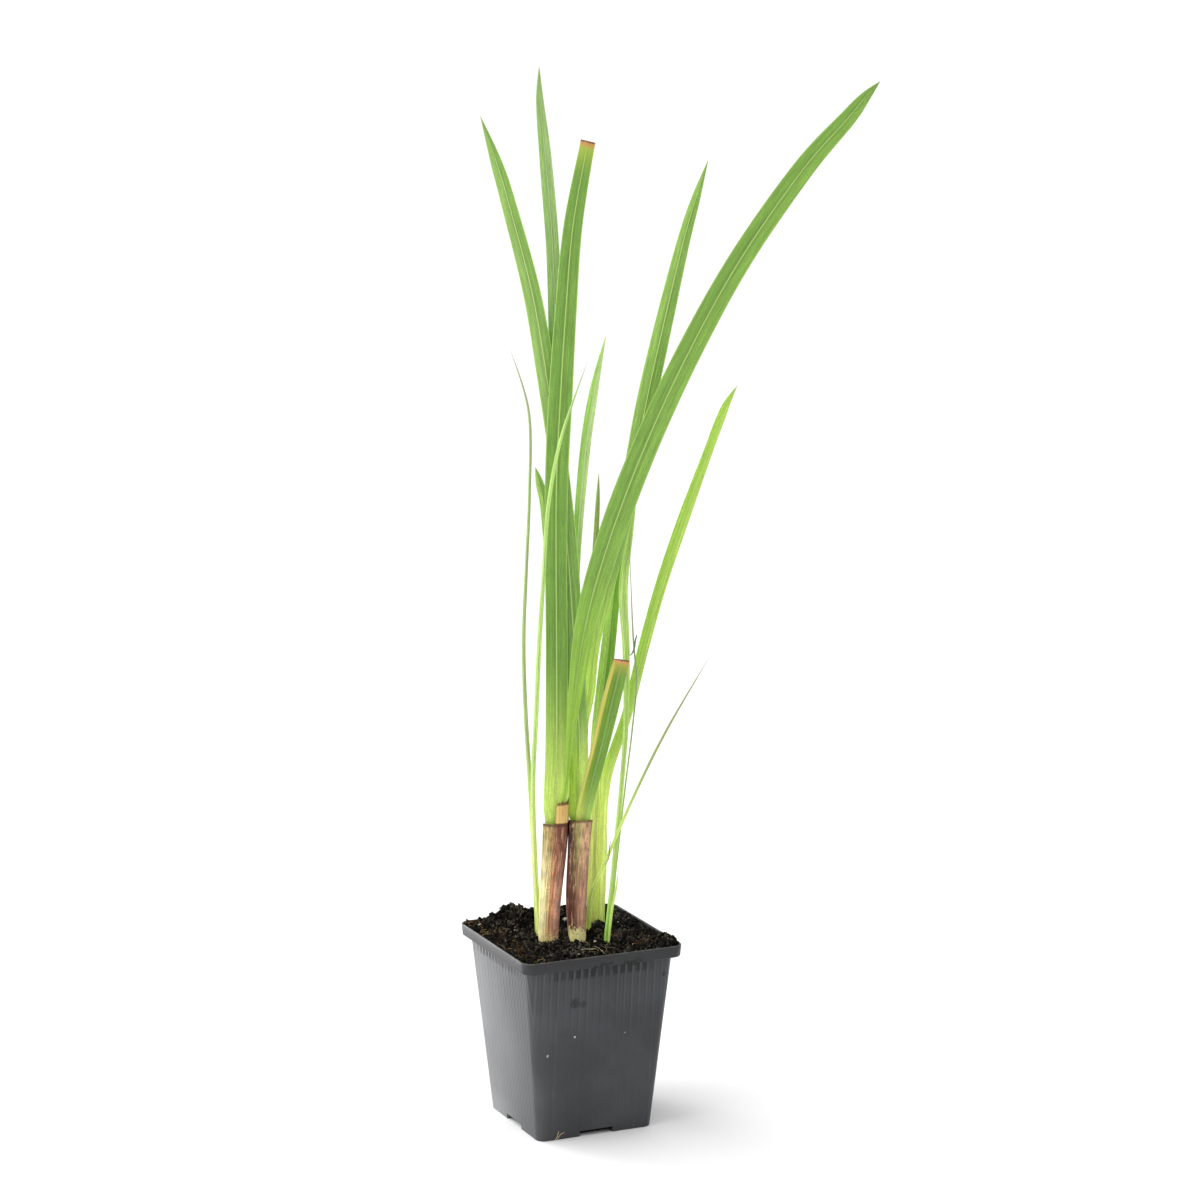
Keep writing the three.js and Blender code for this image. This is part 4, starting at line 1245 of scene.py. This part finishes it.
def loose_at(x, y):
    """How thickly crumbs lie at a place: all over, and most on the mounds."""
    return min(1.0, 0.45 + heap(x, y) / 6)


def straw_at(x, y):
    """How thickly fibres lie: most along the left side of the pot and in its front corner."""
    left = max(0.0, min(1.0, (-26 - x) / 12)) * (1.0 if y > 0 else 0.5)
    return min(1.0, 0.05 + left + 0.5 * near(x, y, 30, -30, 12))


def roots_at(x, y):
    """How thickly the pale roots lie: only in front of the right sheath."""
    return near(x, y, -1, -34, 6)


AMOUNTS = {"loose": loose_at, "straw": straw_at, "roots": roots_at}


def soil_height(x, y):
    """Height of the bed in millimetres, with the noise fading out at the wall of the pot."""
    uneven = sum(noise.noise(Vector((x / size, y / size, seed))) * rise for size, seed, rise in SOIL_NOISE)
    edge = max(abs(x), abs(y)) / MOUTH
    return SOIL_LEVEL + heap(x, y) + uneven * min(1.0, (1.02 - edge) * 14)


def in_mouth(i, j):
    """Place of a grid point in the rounded mouth of the pot."""
    x, y = (2 * i / SOIL_CELLS - 1) * MOUTH, (2 * j / SOIL_CELLS - 1) * MOUTH
    inner = MOUTH - MOUTH_RADIUS
    out_x, out_y = abs(x) - inner, abs(y) - inner
    if out_x > 0 and out_y > 0:
        reach = max(out_x, out_y) / math.hypot(out_x, out_y)
        x = math.copysign(inner + out_x * reach, x)
        y = math.copysign(inner + out_y * reach, y)
    return x, y


def soil_object():
    size = SOIL_CELLS + 1
    vertices = []
    for j in range(size):
        for i in range(size):
            x, y = in_mouth(i, j)
            vertices.append(Vector((x, y, soil_height(x, y))) * MM)
    faces = [
        (j * size + i, j * size + i + 1, (j + 1) * size + i + 1, (j + 1) * size + i)
        for j in range(SOIL_CELLS) for i in range(SOIL_CELLS)
    ]
    border = list(range(SOIL_CELLS))
    border += [j * size + SOIL_CELLS for j in range(SOIL_CELLS)]
    border += [SOIL_CELLS * size + i for i in range(SOIL_CELLS, 0, -1)]
    border += [j * size for j in range(SOIL_CELLS, 0, -1)]
    ring = border
    lower_rings = [
        (1.0, LEDGE + CLEAR), ((wall_half(LEDGE) - CLEAR) / MOUTH, LEDGE + CLEAR),
        ((BASE_HALF - CLEAR) / MOUTH, POT_FLOOR + FLOOR_GAP),
    ]
    for scale, height in lower_rings:
        first, count = len(vertices), len(border)
        vertices += [Vector((vertices[k].x * scale, vertices[k].y * scale, height * MM)) for k in border]
        following = list(range(first, first + count))
        for k in range(count):
            turn = (k + 1) % count
            faces.append((following[k], following[turn], ring[turn], ring[k]))
        ring = following
    faces.append(tuple(reversed(ring)))
    piece = new_object("soil_bed", vertices, faces=faces)
    top_count = size * size
    for label, amount in AMOUNTS.items():
        share = piece.data.attributes.new(label, "FLOAT", "POINT")
        for k, spot in enumerate(share.data):
            x, y = vertices[k].x / MM, vertices[k].y / MM
            inside = k < top_count and max(abs(x), abs(y)) < MOUTH - 1.0
            spot.value = amount(x, y) if inside else 0.0
    piece.data.shade_smooth()
    return piece


soil = soil_object()
print("soil bed:", len(soil.data.polygons), "faces")

# %% [markdown]
# ## Earthy colours
# Moist peat is nearly black, and brown where it has dried. Every crumb and fibre carries a tone from 0 to 1
# of its own, and one small shader group turns that tone into a colour between two others and
# roughens the surface.

# %% Earth group
def earth_group():
    group, given, result = new_group(
        "Earth", "ShaderNodeTree",
        [
            ("Dark", "Color", paint(26, 22, 19)), ("Light", "Color", paint(84, 66, 44)),
            ("Tone", "Float", 0.5), ("Scale", "Float", 300.0),
        ],
        [("Color", "Color"), ("Height", "Float")],
    )
    place = put(group, "ShaderNodeTexCoord", out=3)
    grain = speckle(group, place, given["Scale"], 5.0, 0.7)
    patch = speckle(group, place, 60.0, 2.0)
    tone = shifted(group, given["Tone"], grain, 1.1)
    tone = maths(group, "MULTIPLY", tone, ramp(group, patch, 0.35, 0.65, 0.6, 1.25), clamp=True)
    tone = maths(group, "POWER", tone, 2.4)
    group.links.new(blend_colors(group, tone, given["Dark"], given["Light"]), result["Color"])
    group.links.new(grain, result["Height"])
    return group


EARTH = earth_group()


def earth_finish(name, dark, light, tone=None, scale=700.0, relief=0.0008):
    """Finish between two colours; without a tone of its own it takes the one stored with each crumb."""
    material, tree, shader = new_material(name, Roughness=0.9, Specular_IOR_Level=0.08)
    if tone is None:
        tone = put(tree, "ShaderNodeAttribute", attribute_name="tone", out=2)
    earth = use_group(tree, EARTH, Dark=dark, Light=light, Tone=tone, Scale=scale)
    tree.links.new(earth.outputs["Color"], shader.inputs["Base Color"])
    bump(tree, shader, earth.outputs["Height"], relief)
    return material


soil.data.materials.append(earth_finish("soil_finish", paint(8, 7, 6), paint(40, 35, 28), tone=0.3))

# %% [markdown]
# ## Crumbs and fibres
# What makes soil look like soil lies loose on it: crumbs of peat, bark, dry fibres and fine roots. Placing
# thousands of them by hand is out of the question, so one geometry tree scatters small shapes
# over the bed, turns and scales each one by chance from a fixed seed, gives it a tone, and joins
# them into one mesh.

# %% Scatter tree
def tree_random(group, kind, low, high, seed):
    """Random number or vector for each point, between two values."""
    node = group.nodes.new("FunctionNodeRandomValue")
    node.data_type = kind
    inputs = [socket for socket in node.inputs if socket.enabled]
    for socket, source in zip(inputs, (low, high, None, seed)):
        feed(group, socket, source)
    return next(socket for socket in node.outputs if socket.enabled)


def scatter_tree():
    group, given, result = new_group(
        "Scatter", "GeometryNodeTree",
        [
            ("Bed", "Geometry", None), ("Shapes", "Collection", None), ("Spacing", "Float", 0.002),
            ("Density", "Float", 100000.0), ("Smallest", "Float", 0.6), ("Largest", "Float", 1.6),
            ("Lift", "Float", 0.0), ("Tilt", "Float", 3.14), ("Seed", "Int", 1), ("Where", "String", "loose"),
            ("Finish", "Material", None),
        ],
        [("Crumbs", "Geometry")],
    )
    group.is_modifier = True
    amount = put(group, "GeometryNodeInputNamedAttribute", given["Where"], data_type="FLOAT")
    points = put(group, "GeometryNodeDistributePointsOnFaces", distribute_method="POISSON", named={
        "Mesh": given["Bed"], "Distance Min": given["Spacing"], "Density Max": given["Density"],
        "Density Factor": amount, "Seed": given["Seed"],
    })
    shapes = put(group, "GeometryNodeCollectionInfo", given["Shapes"],
                 named={"Separate Children": True, "Reset Children": True})
    lean = times(group, given["Tilt"], -1.0)
    low = put(group, "ShaderNodeCombineXYZ", lean, lean, -math.pi)
    high = put(group, "ShaderNodeCombineXYZ", given["Tilt"], given["Tilt"], math.pi)
    turn = tree_random(group, "FLOAT_VECTOR", low, high, given["Seed"])
    size = tree_random(group, "FLOAT", given["Smallest"], given["Largest"], given["Seed"])
    placed = put(group, "GeometryNodeInstanceOnPoints", named={
        "Points": points, "Instance": shapes, "Pick Instance": True, "Rotation": turn, "Scale": size,
    })
    tone = tree_random(group, "FLOAT", 0.0, 1.0, given["Seed"])
    toned = put(group, "GeometryNodeStoreNamedAttribute", data_type="FLOAT", domain="INSTANCE",
                named={"Geometry": placed, "Name": "tone", "Value": tone})
    raised = put(group, "GeometryNodeTranslateInstances", named={
        "Instances": toned, "Local Space": False,
        "Translation": put(group, "ShaderNodeCombineXYZ", 0.0, 0.0, given["Lift"]),
    })
    real = put(group, "GeometryNodeRealizeInstances", raised)
    finished = put(group, "GeometryNodeSetMaterial", named={"Geometry": real, "Material": given["Finish"]})
    group.links.new(finished, result["Crumbs"])
    return group


SCATTER = scatter_tree()
print("scatter tree:", len(SCATTER.nodes), "nodes")

# %% Small shapes
def shape_set(name, count, make):
    """Collection of small hidden shapes to scatter."""
    box = bpy.data.collections.new(name)
    for k in range(count):
        vertices, faces = make(k)
        mesh = bpy.data.meshes.new(name)
        mesh.from_pydata(vertices, [], faces)
        box.objects.link(bpy.data.objects.new(name, mesh))
    return box


STRAND_STEPS = 6
STRAND_BENDS = (0.9, -0.6, 1.4)
SHARD_ENDS = [(1.2, 0.2, 0), (0, 1, 0.2), (-1, 0.1, 0.1), (0.2, -0.9, 0), (0, 0.1, 0.7), (0.1, 0, -0.7)]


def shard(k, size):
    """Crumb with eight flat sides."""
    vertices = []
    for way in SHARD_ENDS:
        push = 1 + 0.5 * noise.noise(Vector(way) * 1.7 + Vector((k * 3.1, 0, 0)))
        vertices.append(tuple(Vector(way) * size * push))
    faces = [(k, (k + 1) % 4, 4) for k in range(4)] + [((k + 1) % 4, k, 5) for k in range(4)]
    return vertices, faces


def lump(k, size, rough):
    """Angular lump from a small ball, pushed about by noise."""
    ball = bmesh.new()
    bmesh.ops.create_icosphere(ball, subdivisions=2, radius=size)
    for vertex in ball.verts:
        push = 1 + rough * noise.noise(vertex.co / size * 1.9 + Vector((k * 7.0, 0, 0)))
        vertex.co = Vector((vertex.co.x * push * 1.15, vertex.co.y * push, vertex.co.z * push * 0.8))
    vertices = [tuple(vertex.co) for vertex in ball.verts]
    faces = [tuple(vertex.index for vertex in face.verts) for face in ball.faces]
    ball.free()
    return vertices, faces


def strand(k, length, thick):
    """Short bent fibre with three sides."""
    bend = STRAND_BENDS[k % 3]
    vertices, faces = [], []
    for step in range(STRAND_STEPS + 1):
        t = step / STRAND_STEPS - 0.5
        sag = bend * (t * t - 0.25) * length * 0.5
        middle = Vector((t * length, sag, math.sin(t * 5 + k) * length * 0.06))
        slim = thick * (1 - 1.6 * abs(t) ** 2)
        for side in range(3):
            angle = side * 2 * math.pi / 3
            vertices.append(tuple(middle + Vector((0, math.cos(angle), math.sin(angle))) * slim))
    for step in range(STRAND_STEPS):
        for side in range(3):
            low, turn = step * 3, (side + 1) % 3
            faces.append((low + side, low + 3 + side, low + 3 + turn, low + turn))
    last = STRAND_STEPS * 3
    faces += [(0, 1, 2), (last + 2, last + 1, last)]
    return vertices, faces


# %% Scatter them
def scatter(name, count, make, **values):
    """Scatter a few different shapes over the bed, as one piece."""
    shapes = shape_set(name + "_shapes", count, make)
    piece = bpy.data.objects.new(name, soil.data.copy())
    bpy.context.collection.objects.link(piece)
    grow(piece, SCATTER, Shapes=shapes, **values)
    piece.data.materials.clear()
    piece.data.materials.append(values["Finish"])
    drop_attributes(piece, AMOUNTS)
    for item in list(shapes.objects):
        bpy.data.objects.remove(item)
    bpy.data.collections.remove(shapes)
    declare(piece, "soil")


PEAT = earth_finish("peat_finish", paint(5, 5, 5), paint(98, 92, 82), relief=0.0014)
CLOD = earth_finish("clod_finish", paint(4, 4, 4), paint(52, 48, 42), relief=0.0016)
BARK = earth_finish("bark_finish", paint(22, 16, 10), paint(114, 86, 54), relief=0.0008)
STRAW = earth_finish("straw_finish", paint(82, 58, 28), paint(190, 154, 92), scale=120.0, relief=0.0002)
ROOT = earth_finish("root_finish", paint(170, 152, 104), paint(222, 212, 170), scale=120.0, relief=0.0002)

scatter("soil_crumbs", 5, lambda k: shard(k, 0.0007), Spacing=0.0007, Density=2000000.0, Smallest=0.4,
        Largest=1.5, Lift=0.0004, Seed=4, Finish=PEAT)
scatter("soil_lumps", 5, lambda k: lump(k, 0.0014, 1.1), Spacing=0.0026, Density=120000.0, Smallest=0.4,
        Largest=1.4, Lift=0.0004, Seed=9, Finish=CLOD)
scatter("soil_bark", 4, lambda k: shard(k, 0.0005), Spacing=0.0009, Density=600000.0, Smallest=0.4,
        Largest=1.3, Lift=0.0009, Seed=31, Finish=BARK, Where="straw")
scatter("soil_fibres", 3, lambda k: strand(k, 0.005, 0.0001), Spacing=0.0016, Density=200000.0,
        Smallest=0.25, Largest=0.85, Lift=0.0012, Tilt=0.6, Seed=12, Finish=STRAW, Where="straw")
scatter("soil_roots", 3, lambda k: strand(k, 0.008, 0.00008), Spacing=0.003, Density=90000.0,
        Smallest=0.6, Largest=1.2, Lift=0.0022, Tilt=0.35, Seed=5, Finish=ROOT, Where="roots")

# %% [markdown]
# ## Grains and bits placed one by one
# A few things are too easily seen to be left to chance: the white grains on the soil, two straws at the
# foot of the pot, and a dark and a green bit caught among the blades. They are made of the same
# small shapes, but each is put in its place.

# %% White grains
GRAINS = [
    (-38, 32, 0.65), (8, 24, 1.3), (6, -18, 0.7), (13, -41.5, 0.6), (-12, -38, 0.35), (31, 8, 0.35),
    (-30, -12, 0.3), (22, -30, 0.3), (-24, 18, 0.35), (2, -36, 0.4), (-36, 2, 0.3), (34, 28, 0.4),
]
GRAIN_LIFT = 0.8


def grain_at(k, x, y, size):
    points, sides = lump(k, size * MM, 0.6)
    place = Vector((x, y, soil_height(x, y) + GRAIN_LIFT)) * MM
    return [Vector(point) + place for point in points], sides


grains = joined("soil_grains", [grain_at(k, *row) for k, row in enumerate(GRAINS)])
GRAIN = earth_finish("grain_finish", paint(150, 146, 134), paint(232, 230, 222), tone=0.9, scale=500.0,
                     relief=0.0004)
grains.data.materials.append(GRAIN)
declare(grains, "soil")

# %% Straws and bits
def loose_bits(name, dark, light, slot, bits):
    """Single strands, each with its middle, length and thickness in millimetres and its rise in degrees."""
    shapes = []
    for k, (middle, length, thick, rise) in enumerate(bits):
        points, sides = strand(k, length * MM, thick * MM)
        tilt = Matrix.Rotation(math.radians(-rise), 3, "Y")
        shapes.append(([tilt @ Vector(point) + Vector(middle) * MM for point in points], sides))
    piece = joined(name, shapes)
    piece.data.materials.append(earth_finish(name + "_finish", dark, light, tone=0.9))
    declare(piece, slot)


ON_BLADE = PLANT_TURN @ Vector((19.6, -9.8, 146))
BESIDE_LEAF = PLANT_TURN @ Vector((32.6, -4.6, 254.5))
loose_bits("foot_straws", paint(176, 152, 112), paint(226, 208, 172), "soil", [
    ((-22.4, -32.9, 2.6), 5.0, 0.22, 58), ((-20.4, -33, 2.3), 5.6, 0.22, 36),
])
loose_bits("dark_twig", paint(40, 30, 24), paint(84, 66, 50), "dry_sheath", [(ON_BLADE, 13.0, 0.24, 72)])
loose_bits("green_scrap", paint(84, 120, 70), paint(132, 168, 104), "leaf", [(BESIDE_LEAF, 11.0, 0.6, 66)])

# The bed comes last, as everything that lies on it was scattered from it.
declare(soil, "soil", "soil")
